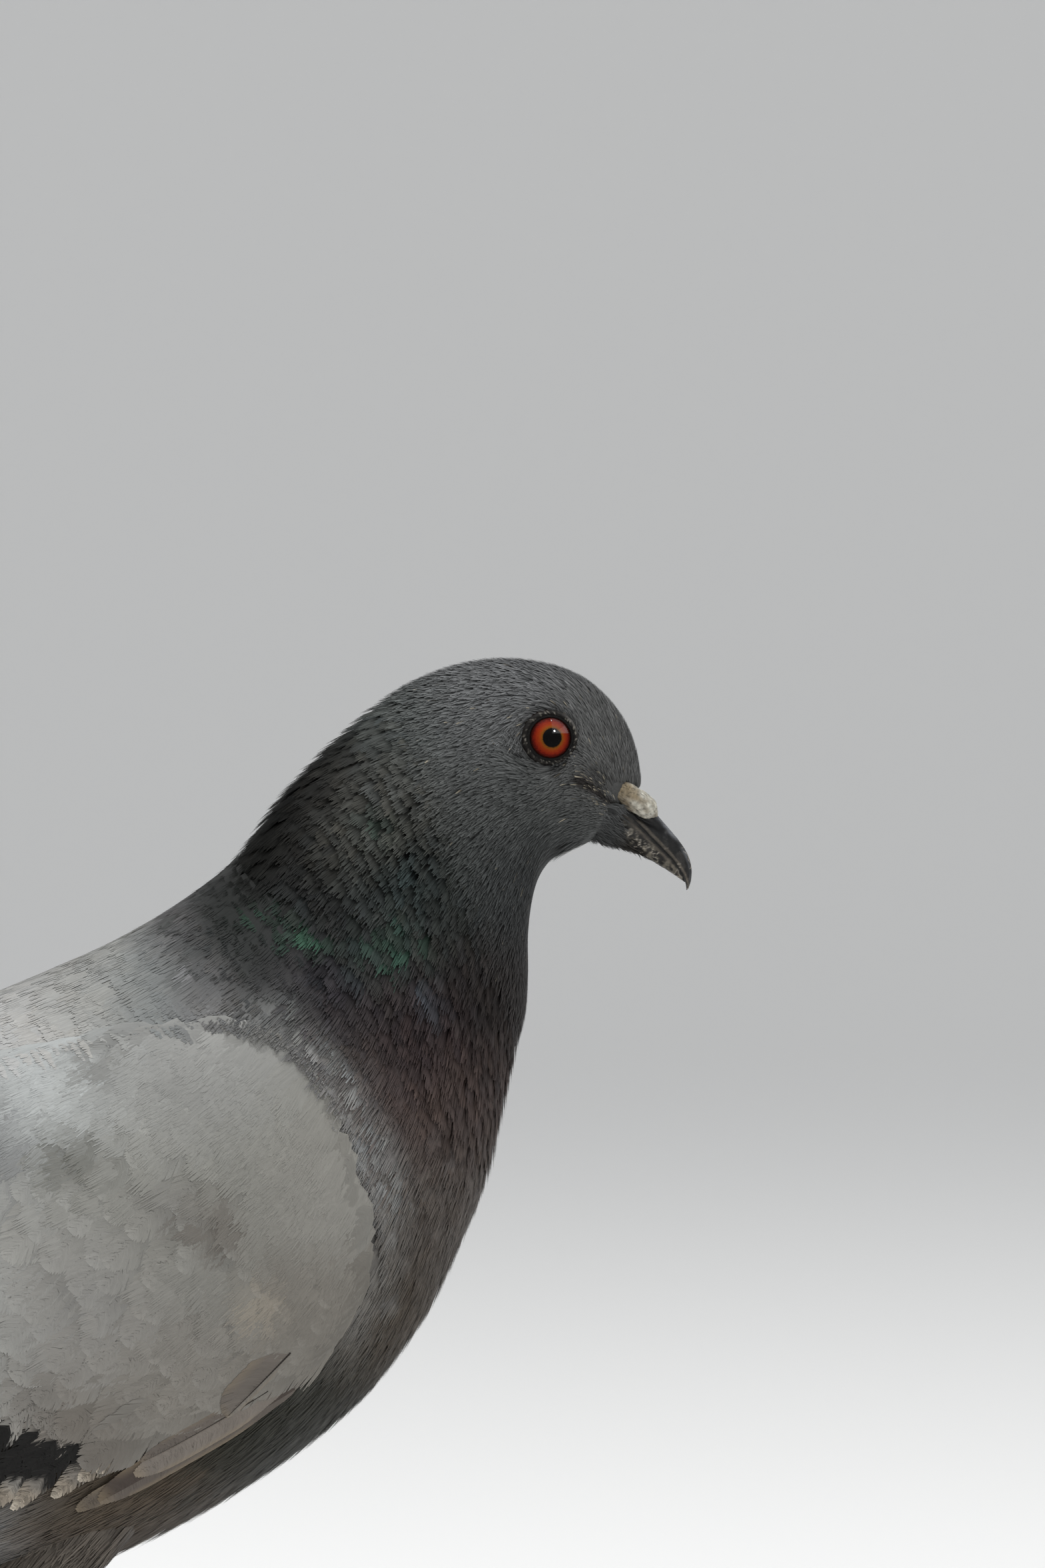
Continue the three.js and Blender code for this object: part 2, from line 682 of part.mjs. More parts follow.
// A round limb from point to point with the given radii, [x, y, z, radius, depth] in each row.
function limb(rows, steps, count, shape = () => 1) {
  const at = (t) => rowAt(rows, t);
  return skinned(
    range(0, rows.length - 1, steps).map((t) => {
      const [x, y, z, radius, depth] = at(t);
      const [p, q] = [at(Math.max(t - 0.05, 0)), at(Math.min(t + 0.05, rows.length - 1))];
      const along = new THREE.Vector3(q[0] - p[0], q[1] - p[1], q[2] - p[2]).normalize();
      const across = new THREE.Vector3(0, 1, 0).cross(along).normalize();
      const out = new THREE.Vector3().crossVectors(along, across);
      return range(0, 2 * Math.PI, count).slice(0, count).map((a) => {
        const [c, s] = [Math.cos(a) * depth * shape(t, a), Math.sin(a) * radius];
        return [x + across.x * c + out.x * s, y + across.y * c + out.y * s, z + across.z * c + out.z * s];
      });
    }),
  );
}

// A leg's row of LEG on one side, and grown.
const onSide = ([x, y, z, ...radii], side, grow = 0) => [x, side * y, z, ...radii.map((r) => r + grow)];

// The feathered thigh; the grown one is let down a little too, for cutting what meets its end.
const thigh = (side, grow = 0) => {
  const rows = LEG.thigh.map((row) => onSide(row, side, grow));
  rows.at(-1)[2] -= grow;
  return limb(rows, 6, 14);
};

function buildLeg(name, side) {
  const [hx, hy, hz] = LEG.heel;
  const [fx, fy, fz] = LEG.foot;
  addNode(`thigh_${name}`, cut(thigh(side), [torsoGrown]), MATERIAL.body);
  const shank = limb(
    [
      [hx, hy, hz, 3.0, 3.4],
      [(hx + fx) / 2, (hy + fy) / 2, (hz + fz) / 2, LEG.shank - 0.4, LEG.shank],
      [fx - 0.6, fy, fz + 1.6, LEG.shank, LEG.shank + 0.2],
    ].map((row) => onSide(row, side)),
    LEG.scutes * 2,
    9,
    (t) => (Math.round(t * LEG.scutes) % 2 ? 1.06 : 0.97),
  );
  const tarsus = cut(join([shank, footPad(side)]), [thigh(side, GAP), underground]);
  addNode(`tarsus_${name}`, tarsus, MATERIAL.scale);
  const [, middleToe] = TOES;
  for (const toe of TOES) {
    const tools = [footPad(side, GAP), ...(toe === middleToe ? [] : [toeSolid(middleToe, side, GAP)])];
    addNode(`toe_${toe[0]}_${name}`, cut(toeSolid(toe, side), tools), MATERIAL.scale);
    addNode(`claw_${toe[0]}_${name}`, clawSolid(toe, side), MATERIAL.claw);
  }
}

const underground = slab([[-90, -30], [140, -30], [140, 0], [-90, 0]], -80, 80);

// The ball of the foot.
function footPad(side, grow = 0) {
  const [x, y] = LEG.foot;
  const ball = new THREE.SphereGeometry(1, 12, 8);
  ball.scale(4.6 + grow, 4.4 + grow, 4.6 + grow);
  return solidOf(ball.translate(x, side * y, 3.6));
}

// A point by a toe: d along it from the foot's middle, w across, z up.
function toePlace(heading, side) {
  const [x, y] = LEG.foot;
  const [c, s] = [Math.cos(heading * DEG), side * Math.sin(heading * DEG)];
  return (d, w, z) => [x + c * d - s * w, side * y + s * d + c * w, z];
}

// A toe: rings with a raised scute between each pair of creases, flat on the floor.
function toeSolid([, length, heading, half, scutes], side, grow = 0) {
  const place = toePlace(heading, side);
  const angles = range(0, 2 * Math.PI, 8).slice(0, 8);
  return skinned(
    range(0, scutes, scutes * 2).map((k) => {
      const share = k / scutes;
      const bump = k % 1 ? 0.22 : -0.1;
      const wide = half * (1 - 0.28 * share) + bump * 0.4 + grow;
      const tall = half * 1.75 * (1 - 0.3 * share) + bump + grow;
      return angles.map((a) =>
        place(2 + (length - 2) * share, Math.sin(a) * wide, Math.max(tall * (0.38 + Math.cos(a) / 2), 0)),
      );
    }),
  );
}

function clawSolid([, length, heading], side) {
  const place = toePlace(heading, side);
  return skinned(
    [0, 0.5, 1].map((share) => {
      const radius = CLAW.half * (1 - 0.86 * share);
      const rise = 1.9 + 0.5 * Math.sin(share * Math.PI * 0.8) - CLAW.droop * share ** 2;
      const along = length + GAP + CLAW.length * share;
      return range(0, 2 * Math.PI, 6).slice(0, 6).map((a) =>
        place(along, Math.sin(a) * radius * 0.8, rise + Math.cos(a) * radius * 1.1),
      );
    }),
  );
}

// ---- the whole bird ----------------------------------------------------------------------

buildHead();
buildBill();
addNode("neck", loft(BODY, HEAD_ENDS + PARTING, NECK_ENDS - PARTING, 9, 24), MATERIAL.sheen);
addNode("torso", torso, MATERIAL.body);
for (const [name, side] of Object.entries(SIDES)) {
  addNode(`cere_${name}`, cereLobe(side), MATERIAL.cere);
  addNode(`eye_${name}`, eyeBall(side), MATERIAL.iris);
  addNode(`lid_${name}`, lidRing(side), MATERIAL.lid);
}
buildWings();
buildTail();
for (const [name, side] of Object.entries(SIDES)) buildLeg(name, side);

// The origin is on the floor, under the middle of the whole bird.
const box = new THREE.Box3().setFromObject(model, true);
const middle = box.getCenter(new THREE.Vector3());
model.position.set(-middle.x, -middle.y, -box.min.z);

export default model;
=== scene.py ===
"""A rock pigeon standing still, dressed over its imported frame: skin, feathers, eyes, bill and feet.

Every size is in millimetres where it is stated and in metres in the meshes. +X is the way the
bird faces, +Y its left side and +Z up. The body is a loft of ovals; a place on it is a station t
and an angle a from the back. Feathers are laid in that chart, so they follow the body.
"""
import math

import bpy
import numpy as np
from bpy.props import FloatProperty, FloatVectorProperty, PointerProperty
from bpy.types import Operator, Panel, PropertyGroup
from numpy.random import default_rng
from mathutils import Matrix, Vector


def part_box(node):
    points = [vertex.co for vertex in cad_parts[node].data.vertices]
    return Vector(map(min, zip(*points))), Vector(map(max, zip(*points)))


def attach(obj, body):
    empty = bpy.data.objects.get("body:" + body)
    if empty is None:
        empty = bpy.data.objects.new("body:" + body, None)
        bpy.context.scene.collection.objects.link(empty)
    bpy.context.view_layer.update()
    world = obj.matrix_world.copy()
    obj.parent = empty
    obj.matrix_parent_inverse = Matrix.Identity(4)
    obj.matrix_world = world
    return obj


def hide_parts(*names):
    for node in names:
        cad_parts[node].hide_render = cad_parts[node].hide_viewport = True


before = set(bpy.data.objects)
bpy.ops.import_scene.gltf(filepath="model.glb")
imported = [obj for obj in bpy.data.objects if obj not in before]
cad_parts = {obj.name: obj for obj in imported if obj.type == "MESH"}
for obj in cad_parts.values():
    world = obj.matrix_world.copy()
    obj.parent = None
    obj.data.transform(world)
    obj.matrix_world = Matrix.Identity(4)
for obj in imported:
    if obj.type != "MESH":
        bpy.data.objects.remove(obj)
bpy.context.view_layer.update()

bl_info = {
    "name": "Rock pigeon",
    "version": (1, 0, 0),
    "blender": (4, 5, 0),
    "location": "View3D > Sidebar > Pigeon",
    "description": "Skin, plumage, eyes, bill and feet of a standing rock pigeon",
    "category": "Object",
}

MM = 0.001
SIDES = {"right": -1, "left": 1}
BODY = "root"
TURN = 2 * math.pi

# ---- the body's shape, as the frame has it ----

# Stations from the bill's root to the tail: [back x, back z, front x, front z, half width].
BODY_ROWS = [
    [126.6, 184.0, 117.0, 173.4, 4.6],  # 0 the bill's root
    [125.4, 190.9, 111.5, 171.3, 8.0],  # 1 forehead and chin
    [122.2, 197.5, 108.6, 168.4, 9.6],
    [116.0, 203.3, 106.9, 164.0, 10.8],  # 3 over the eye
    [107.0, 206.4, 106.0, 157.0, 11.6],  # 4 crown
    [97.0, 206.4, 106.0, 150.0, 13.2],
    [87.0, 203.4, 105.6, 143.0, 15.6],  # 6 back of the head
    [77.0, 197.6, 104.2, 137.0, 18.5],
    [68.0, 189.6, 102.7, 130.0, 22.5],  # 8 neck
    [59.8, 180.6, 101.0, 122.0, 27.5],
    [52.0, 169.8, 98.5, 112.0, 33.5],  # 10 the neck's root
    [43.0, 162.6, 94.0, 101.5, 38.5],
    [31.0, 155.6, 87.0, 87.0, 42.5],  # 12 mantle and breast
    [17.0, 149.4, 74.0, 71.0, 44.5],
    [1.0, 142.5, 55.0, 57.0, 44.0],  # 14 back and belly
    [-15.0, 134.0, 33.0, 45.5, 41.5],
    [-29.0, 124.5, 10.0, 39.0, 38.0],
    [-41.0, 115.0, -12.0, 38.5, 33.0],  # 17 rump and vent
    [-51.5, 105.5, -32.0, 44.0, 27.5],
    [-60.0, 98.0, -48.0, 56.0, 22.0],  # 19 the tail's root
    [-70.5, 86.4, -52.5, 57.5, 20.3],
    [-80.5, 70.0, -69.5, 53.6, 18.4],  # 21 the tail's coverts
    [-92.0, 55.0, -87.0, 46.6, 17.0],
    [-101.5, 44.6, -99.3, 40.4, 15.0],
]
# The surface that the folded wings' feathers lie on, the same way, from station 9 on.
FOLD_FIRST = 9
FOLD_ROWS = [
    [59.8, 180.6, 101.0, 122.0, 27.8],
    [52.0, 170.0, 98.5, 112.0, 34.4],
    [43.0, 163.0, 94.0, 101.0, 40.6],
    [31.0, 156.4, 87.0, 85.0, 46.0],  # 12
    [17.0, 150.4, 74.0, 67.0, 49.0],
    [1.0, 143.8, 54.0, 50.0, 49.2],
    [-15.0, 135.6, 32.0, 37.0, 47.4],  # 15
    [-30.0, 126.0, 9.0, 29.0, 44.4],
    [-43.5, 116.0, -13.0, 24.0, 40.6],
    [-56.0, 105.5, -35.0, 20.0, 37.0],  # 18
    [-67.0, 95.0, -55.0, 17.0, 34.0],
    [-77.5, 84.0, -74.0, 14.0, 31.6],
    [-88.5, 72.0, -92.0, 10.0, 29.8],  # 21
    [-100.0, 58.5, -108.0, 5.0, 28.8],
    [-112.0, 45.0, -122.0, -1.0, 28.2],
    [-126.0, 30.0, -136.0, -9.0, 27.8],  # 24
]
FULLNESS = 0.86
TAIL_END = 19  # the torso's last station, which gives the frame's place along X
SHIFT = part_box("torso")[0].x / MM - BODY_ROWS[TAIL_END][0]

# The folded wing's edge from the side, round from the shoulder by the bend and the tip.
WING_EDGE = [
    [51.0, 142.8], [59.4, 141.0], [66.8, 135.8], [72.2, 128.4], [75.8, 118.5], [78.6, 110.0],
    [79.4, 102.8], [76.8, 93.6], [72.6, 86.0], [67.2, 79.6], [61.6, 73.6], [52.7, 64.8],
    [40.7, 58.2], [25.7, 53.2], [10.5, 48.8], [-20.0, 42.2], [-60.0, 33.6], [-100.0, 25.4],
    [-112.0, 23.4], [-104.0, 33.0], [-92.0, 43.0], [-80.0, 56.0], [-76.0, 70.0], [-72.0, 80.0],
    [-50.0, 98.0], [-28.0, 114.0], [-8.0, 127.0], [10.5, 135.9], [28.6, 140.0], [41.0, 142.0],
]


CHART_HALVINGS = 30


def spline(rows, t, beyond=0.0):
    """Rows between those of a table, by uniform Catmull-Rom, and a little beyond its ends."""
    rows = np.array(rows, float)
    last = len(rows) - 1
    i = np.clip(np.floor(t).astype(int), 0, last - 1)
    u = np.clip(t - i, -beyond, 1 + beyond)[..., None]
    p0, p1, p2, p3 = (rows[np.clip(i + k, 0, last)] for k in (-1, 0, 1, 2))
    a, b, d = (p2 - p0) / 2, (p3 - p1) / 2, p1 - p2
    return p1 + u * (a + u * (-3 * d - 2 * a - b + u * (2 * d + a + b)))


def unit(vectors):
    """Vectors of length 1."""
    return vectors / np.linalg.norm(vectors, axis=-1, keepdims=True)


class Loft:
    """Ovals between a back line and a front line, in metres; angles run over the right side."""

    def __init__(self, rows, first=0):
        self.rows = np.array(rows, float) * MM
        self.rows[:, [0, 2]] += SHIFT * MM
        self.first = first

    def row(self, t):
        """The oval at each station t."""
        return spline(self.rows, np.asarray(t, float) - self.first, 0.5)

    def at(self, t, a, h=0.0):
        """The point at station t and angle a, h out from the surface."""
        bx, bz, fx, fz, half = np.moveaxis(self.row(t), -1, 0)
        chord = np.hypot(fx - bx, fz - bz)
        along = -(chord / 2 + h) * np.cos(a)
        sine = np.sin(a)
        side = np.sign(sine) * np.abs(sine) ** FULLNESS * (half + h)
        x = (bx + fx) / 2 + along * (fx - bx) / chord
        z = (bz + fz) / 2 + along * (fz - bz) / chord
        return np.stack(np.broadcast_arrays(x, -side, z), -1)

    def chart(self, x, z):
        """Station and angle, on the right side, of points of the side view."""
        low = np.full(np.shape(x), float(self.first))
        high = low + len(self.rows) - 1

        def across(t):
            bx, bz, fx, fz, _ = np.moveaxis(self.row(t), -1, 0)
            return (fx - bx) * (z - bz) - (fz - bz) * (x - bx)

        sign = np.sign(across(low))
        for _ in range(CHART_HALVINGS):
            middle = (low + high) / 2
            same = np.sign(across(middle)) == sign
            low, high = np.where(same, middle, low), np.where(same, high, middle)
        bx, bz, fx, fz, _ = np.moveaxis(self.row(low), -1, 0)
        share = ((x - bx) * (fx - bx) + (z - bz) * (fz - bz)) / ((fx - bx) ** 2 + (fz - bz) ** 2)
        return low, np.arccos(1 - 2 * np.clip(share, 0.0005, 0.9995))


LEAST_PACE = 0.4 * MM


def pace(surface, t, a):
    """Metres for one step of t and for one radian of a, at each place of a surface."""
    step = 0.01
    along = np.linalg.norm(surface.at(t + step, a) - surface.at(t - step, a), axis=-1) / (2 * step)
    across = np.linalg.norm(surface.at(t, a + step) - surface.at(t, a - step), axis=-1) / (2 * step)
    return np.maximum(along, LEAST_PACE), np.maximum(across, LEAST_PACE)


class Limb:
    """A round limb along rows of [x, y, z, half width, half depth], in metres; t counts rows."""

    def __init__(self, rows):
        self.rows = np.array(rows, float) * MM
        self.rows[:, 0] += SHIFT * MM

    def at(self, t, a, h=0.0):
        """The point at row t and angle a from the limb's rear, h out from the surface."""
        last = len(self.rows) - 1
        t = np.clip(t, 0, last)
        row = spline(self.rows, t)
        way = spline(self.rows, np.minimum(t + 0.05, last)) - spline(self.rows, np.maximum(t - 0.05, 0))
        way = unit(way[..., :3])
        across = unit(np.cross([0.0, 1.0, 0.0], way))
        out = np.cross(way, across)
        c = (np.cos(a) * (row[..., 4] + h))[..., None]
        s = (np.sin(a) * (row[..., 3] + h))[..., None]
        return row[..., :3] + across * c + out * s


TRUNK = Loft(BODY_ROWS)
FOLD = Loft(FOLD_ROWS, FOLD_FIRST)


def smooth(low, high, x):
    """0 below low, 1 above high, and a smooth step between; low may be over high."""
    u = np.clip((x - low) / (high - low), 0, 1)
    return u * u * (3 - 2 * u)


def bell(u):
    """1 where u is 0, falling to nothing by about 2 on both sides."""
    return np.exp(-(u**2))


def circle(count):
    """Even angles all the way round."""
    return np.linspace(0, TURN, count, endpoint=False)


def side_view(points):
    """Where points of the frame lie from the side, in the drawing's millimetres."""
    return points[..., 0] / MM - SHIFT, points[..., 2] / MM


def from_line(x, z, start, end):
    """Distance of places of the side view from a line, and how far along it they lie."""
    (x0, z0), (x1, z1) = start, end
    dx, dz = x1 - x0, z1 - z0
    share = ((x - x0) * dx + (z - z0) * dz) / (dx * dx + dz * dz)
    held = np.clip(share, 0, 1)
    return np.hypot(x - x0 - held * dx, z - z0 - held * dz), share


def inside_wing(x, z):
    """How far inside the folded wing's edge points of the side view lie, negative outside."""
    edge = (np.array(WING_EDGE) + [SHIFT, 0]) * MM
    near = np.full(np.shape(x), 1.0)
    odd = np.zeros(np.shape(x), bool)
    for (px, pz), (qx, qz) in zip(edge, np.roll(edge, -1, axis=0)):
        near = np.minimum(near, from_line(x, z, (px, pz), (qx, qz))[0])
        if qz != pz:
            odd ^= ((pz > z) != (qz > z)) & (x < px + (z - pz) * (qx - px) / (qz - pz))
    return np.where(odd, near, -near)


def fold_angle(a):
    """The angle from the back, the same on both sides."""
    return np.where(a > math.pi, TURN - a, a)


def dressed(t, a, h):
    """The trunk's surface, rising to the folded wings' own beside and under these."""
    points = TRUNK.at(t, a, h)
    x, z = points[..., 0], points[..., 2]
    low = smooth(1.7, 2.0, fold_angle(np.broadcast_to(a, x.shape)))
    over = smooth(-(7 + 3 * low) * MM, 2 * MM, inside_wing(x, z))
    over = over * (t > FOLD_FIRST + 0.5) * (t < 18) * smooth(8 * MM, 18 * MM, np.abs(points[..., 1]))
    near = over > 0
    if near.any():
        deep = np.broadcast_to(h, x.shape)[near] - (1.6 * MM * low)[near]
        fold = np.abs(FOLD.at(*FOLD.chart(x[near], z[near]), deep)[..., 1])
        y = points[..., 1][near]
        rise = np.clip(fold - np.abs(y), 0, 9 * MM)
        points[..., 1][near] = y + np.sign(y) * rise * over[near]
    return points


# ---- markings ----


def linear(hex_colour):
    """A hex colour as linear RGB."""
    value = np.array([int(hex_colour[i : i + 2], 16) for i in (1, 3, 5)]) / 255
    return np.where(value <= 0.04045, value / 12.92, ((value + 0.055) / 1.055) ** 2.4)


# The plumage's fields of colour: where the middle of each lies from the side, how far it
# reaches and its colour. Neighbours run into each other.
FIELDS = {
    "forehead": [(119, 192), 9, "#5e5e5d"],
    "crown": [(100, 202), 13, "#666768"],
    "cheek": [(103, 182), 13, "#4b4d4c"],
    "throat": [(106, 166), 9, "#3c3e3f"],
    "back of the head": [(84, 196), 9, "#444846"],
    "nape": [(68, 186), 9, "#090807"],
    "hind neck": [(58, 172), 10, "#131311"],
    "bronze scales": [(80, 180), 9, "#4f4f4b"],
    "side of the neck": [(88, 166), 10, "#333735"],
    "green collar, rear": [(66, 159), 7, "#282929"],
    "green collar": [(82, 156), 8, "#3b3d3c"],
    "front of the neck": [(100, 148), 10, "#33302f"],
    "violet band": [(70, 148), 8, "#2e2b2e"],
    "violet band, front": [(86, 142), 8, "#342a2c"],
    "violet, low": [(79, 139), 6, "#3d3938"],
    "maroon breast": [(90, 126), 12, "#4e4340"],
    "breast": [(90, 108), 12, "#59534e"],
    "lower breast": [(82, 92), 11, "#433a2f"],
    "belly": [(64, 72), 14, "#26261f"],
    "rear belly": [(34, 50), 14, "#4a4136"],
    "vent": [(-14, 42), 22, "#7b7c7c"],
    "undertail": [(-70, 55), 22, "#6d7073"],
    "neck's root": [(54, 157), 8, "#1d201e"],
    "mantle's front": [(43, 158), 4, "#555454"],
    "shoulder": [(48, 149), 5, "#616060"],
    "shoulder's front": [(63, 144), 4, "#525351"],
    "mantle's side": [(38, 149), 6, "#737675"],
    "mantle": [(25, 151), 9, "#90908c"],
    "mantle's rear": [(8, 147), 13, "#a8a7a4"],
    "back": [(-12, 136), 16, "#aeb0b0"],
    "rump": [(-46, 112), 20, "#c2c4c4"],
    "uppertail coverts": [(-80, 74), 14, "#8b8e90"],
}


def margin(x, z):
    """The grey band of loose feathers in front of the folded wing, 0 to 1."""
    ahead = -inside_wing((x + SHIFT) * MM, z * MM) / MM
    strength = np.interp(z, [78, 92, 104, 118, 128, 140, 150], [0.0, 0.5, 0.38, 1.0, 0.75, 0.45, 0.0])
    reach = np.interp(z, [104, 118, 132], [2.5, 4.5, 2.5])
    return smooth(reach + 5.5, reach, ahead) * smooth(40, 52, x) * strength


def field_colour(fields, x, z):
    """The colour of fields that run into each other, at places of the side view."""
    total, colour = np.zeros(x.shape), np.zeros(x.shape + (3,))
    for (cx, cz), reach, shade in fields.values():
        weight = np.exp(-(((x - cx) ** 2 + (z - cz) ** 2) / reach**2)) + 1e-9
        total += weight
        colour += weight[..., None] * linear(shade)
    return colour / total[..., None]


def toward(base, other, share):
    """Colours part of the way to another one; share has a number for each of them."""
    return base + (linear(other) - base) * np.asarray(share)[..., None]


def markings(points, rng=None, spread=0.0):
    """The plumage's colour at points, in linear RGB. spread roughens the borders."""
    x, z = side_view(points)
    if rng is not None:
        x = x + rng.normal(0, spread, x.shape)
        z = z + rng.normal(0, spread, z.shape)
    return toward(field_colour(FIELDS, x, z), "#888886", 0.9 * margin(x, z))


# ---- meshes ----


def piece(name, points, faces, material, colours=None, sheen=None, maps=None):
    """A mesh piece from arrays, riding on the frame. maps holds UV by point or by corner."""
    points = np.asarray(points, np.float32).reshape(-1, 3)
    faces = np.asarray(faces, np.int32)
    mesh = bpy.data.meshes.new(name)
    sides = faces.shape[1]
    mesh.vertices.add(len(points))
    mesh.vertices.foreach_set("co", points.ravel())
    mesh.loops.add(faces.size)
    mesh.loops.foreach_set("vertex_index", faces.ravel())
    mesh.polygons.add(len(faces))
    mesh.polygons.foreach_set("loop_start", np.arange(0, faces.size, sides, dtype=np.int32))
    mesh.update(calc_edges=True)
    mesh.polygons.foreach_set("use_smooth", np.ones(len(faces), bool))
    for map_name, uv in (maps or {}).items():
        layer = mesh.uv_layers.new(name=map_name)
        values = np.asarray(uv, np.float32).reshape(-1, 2)
        if len(values) == len(points):
            values = values[faces.ravel()]
        layer.data.foreach_set("uv", values.ravel())
    if colours is not None:
        layer = mesh.color_attributes.new(name="Marking", type="FLOAT_COLOR", domain="POINT")
        rgba = np.ones((len(points), 4), np.float32)
        rgba[:, :3] = np.asarray(colours).reshape(-1, 3)
        layer.data.foreach_set("color", rgba.ravel())
    if sheen is not None:
        layer = mesh.attributes.new("Gloss", "FLOAT", "POINT")
        layer.data.foreach_set("value", np.asarray(sheen, np.float32).ravel())
    mesh.validate()
    mesh.materials.append(material)
    made = bpy.data.objects.new(name, mesh)
    bpy.context.scene.collection.objects.link(made)
    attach(made, BODY)
    return made


def grid_faces(rows, columns, closed=True):
    """Quads of a grid of points, row by row; closed joins the last column to the first."""
    i = np.arange(rows - 1)[:, None]
    j = np.arange(columns if closed else columns - 1)[None, :]
    follow = (j + 1) % columns
    quads = [i * columns + j, (i + 1) * columns + j, (i + 1) * columns + follow, i * columns + follow]
    return np.stack(np.broadcast_arrays(*quads), -1).reshape(-1, 4)


def face_normals(points, faces):
    """Normals of quads, longer for the larger ones."""
    corners = points.reshape(-1, 3)[faces]
    return np.cross(corners[:, 2] - corners[:, 0], corners[:, 3] - corners[:, 1])


def tube(rings):
    """Closed rings of points as one skin with shut ends: points and faces."""
    rows, columns, _ = rings.shape
    first = np.repeat(rings[:1].mean(1, keepdims=True), columns, 1)
    last = np.repeat(rings[-1:].mean(1, keepdims=True), columns, 1)
    everything = np.concatenate([first, rings, last])
    faces = grid_faces(rows + 2, columns)
    middle = np.array([everything[i].mean(0) for i in range(rows + 2)])
    away = everything.reshape(-1, 3)[faces].mean(1) - middle[faces[:, 0] // columns]
    if np.einsum("ij,ij->i", face_normals(everything, faces), away).sum() < 0:
        faces = faces[:, ::-1]
    return everything, faces


def tube_piece(name, rings, material, shade, least=0.002):
    """A piece from closed rings of points, with a colour for each and none darker than least."""
    points, faces = tube(rings)
    shade = np.concatenate([shade[:1], shade, shade[-1:]])
    return piece(name, points, faces, material, np.clip(shade, least, 1))


# ---- materials ----


def group_node(name, **inputs):
    """A new shader node group that gives a colour and a height, with inputs of stated kinds."""
    group = bpy.data.node_groups.new(name, "ShaderNodeTree")
    for way, sockets in (("INPUT", inputs), ("OUTPUT", {"Colour": "Color", "Height": "Float"})):
        for label, kind in sockets.items():
            group.interface.new_socket(name=label, in_out=way, socket_type=f"NodeSocket{kind}")
    return group, group.nodes.new("NodeGroupInput"), group.nodes.new("NodeGroupOutput")


def add(tree, kind, inputs=(), **settings):
    """A node with its settings and inputs; an input is a value or a socket to link from."""
    node = tree.nodes.new("ShaderNode" + kind)
    for key, value in settings.items():
        setattr(node, key, value)
    for key, value in dict(inputs).items():
        if isinstance(value, bpy.types.NodeSocket):
            tree.links.new(value, node.inputs[key])
        else:
            node.inputs[key].default_value = value
    return node


def toned(group, start, noise):
    """The group's colour, lighter and darker with a noise as far as its contrast says."""
    value = {"Value": noise.outputs["Fac"], "From Min": 0.3, "From Max": 0.7, "To Min": -1.0, "To Max": 1.0}
    level = add(group, "MapRange", value)
    swing = add(group, "Math", {0: level.outputs[0], 1: start.outputs["Contrast"]}, operation="MULTIPLY")
    gain = add(group, "Math", {0: swing.outputs[0], 1: 1.0}, operation="ADD")
    inputs = {0: start.outputs["Colour"], "Scale": gain.outputs[0]}
    return add(group, "VectorMath", inputs, operation="SCALE").outputs[0]


def barb_group():
    """Fine streaks along the barbs, as a colour and a height."""
    if "Feather barbs" in bpy.data.node_groups:
        return bpy.data.node_groups["Feather barbs"]
    group, start, end = group_node("Feather barbs", Colour="Color", Vane="Vector", Count="Float", Contrast="Float")
    parts = add(group, "SeparateXYZ", {"Vector": start.outputs["Vane"]})
    dense = add(group, "Math", {0: parts.outputs["Y"], 1: start.outputs["Count"]}, operation="MULTIPLY")
    slow = add(group, "Math", {0: parts.outputs["X"], 1: 0.25}, operation="MULTIPLY")
    place = add(group, "CombineXYZ", {"X": slow.outputs[0], "Y": dense.outputs[0]})
    noise = add(group, "TexNoise", {"Vector": place.outputs[0], "Scale": 1.0, "Detail": 3.0, "Roughness": 0.6})
    group.links.new(toned(group, start, noise), end.inputs["Colour"])
    group.links.new(noise.outputs["Fac"], end.inputs["Height"])
    return group


def grain_group():
    """Patchy grain over object space, as a colour and a height."""
    if "Grain" in bpy.data.node_groups:
        return bpy.data.node_groups["Grain"]
    group, start, end = group_node(
        "Grain", Colour="Color", Fleck="Color", Scale="Float", Contrast="Float", Flecks="Float"
    )
    place = add(group, "TexCoord").outputs["Object"]
    scale = start.outputs["Scale"]
    noise = add(group, "TexNoise", {"Vector": place, "Scale": scale, "Detail": 6.0, "Roughness": 0.65})
    tint = toned(group, start, noise)
    double = add(group, "Math", {0: scale, 1: 2.3}, operation="MULTIPLY")
    spots = add(group, "TexNoise", {"Vector": place, "Scale": double.outputs[0], "Detail": 2.0})
    edge = add(group, "Math", {0: 0.78, 1: start.outputs["Flecks"]}, operation="SUBTRACT")
    top = add(group, "Math", {0: edge.outputs[0], 1: 0.05}, operation="ADD")
    value = {"Value": spots.outputs["Fac"], "From Min": edge.outputs[0], "From Max": top.outputs[0]}
    mask = add(group, "MapRange", value)
    group.links.new(mixed(group, mask.outputs[0], tint, start.outputs["Fleck"]), end.inputs["Colour"])
    group.links.new(noise.outputs["Fac"], end.inputs["Height"])
    return group


def mixed(tree, share, first, second):
    """A mix of two colours. Mix has a socket of each name for each data type, so they go by place."""
    return add(tree, "Mix", {0: share, 6: first, 7: second}, data_type="RGBA").outputs[2]


def new_material(name):
    material = bpy.data.materials.new(name)
    material.use_nodes = True
    tree = material.node_tree
    return material, tree, tree.nodes["Principled BSDF"]


def set_values(shader, **values):
    for key, value in values.items():
        shader.inputs[key.replace("_", " ")].default_value = value


def textured(tree, shader, group, strength, depth):
    """Gives a material a group's colour and, as a bump depth metres deep, its height."""
    tree.links.new(group.outputs["Colour"], shader.inputs["Base Color"])
    bump = add(tree, "Bump", {"Height": group.outputs["Height"], "Strength": strength, "Distance": depth})
    tree.links.new(bump.outputs["Normal"], shader.inputs["Normal"])


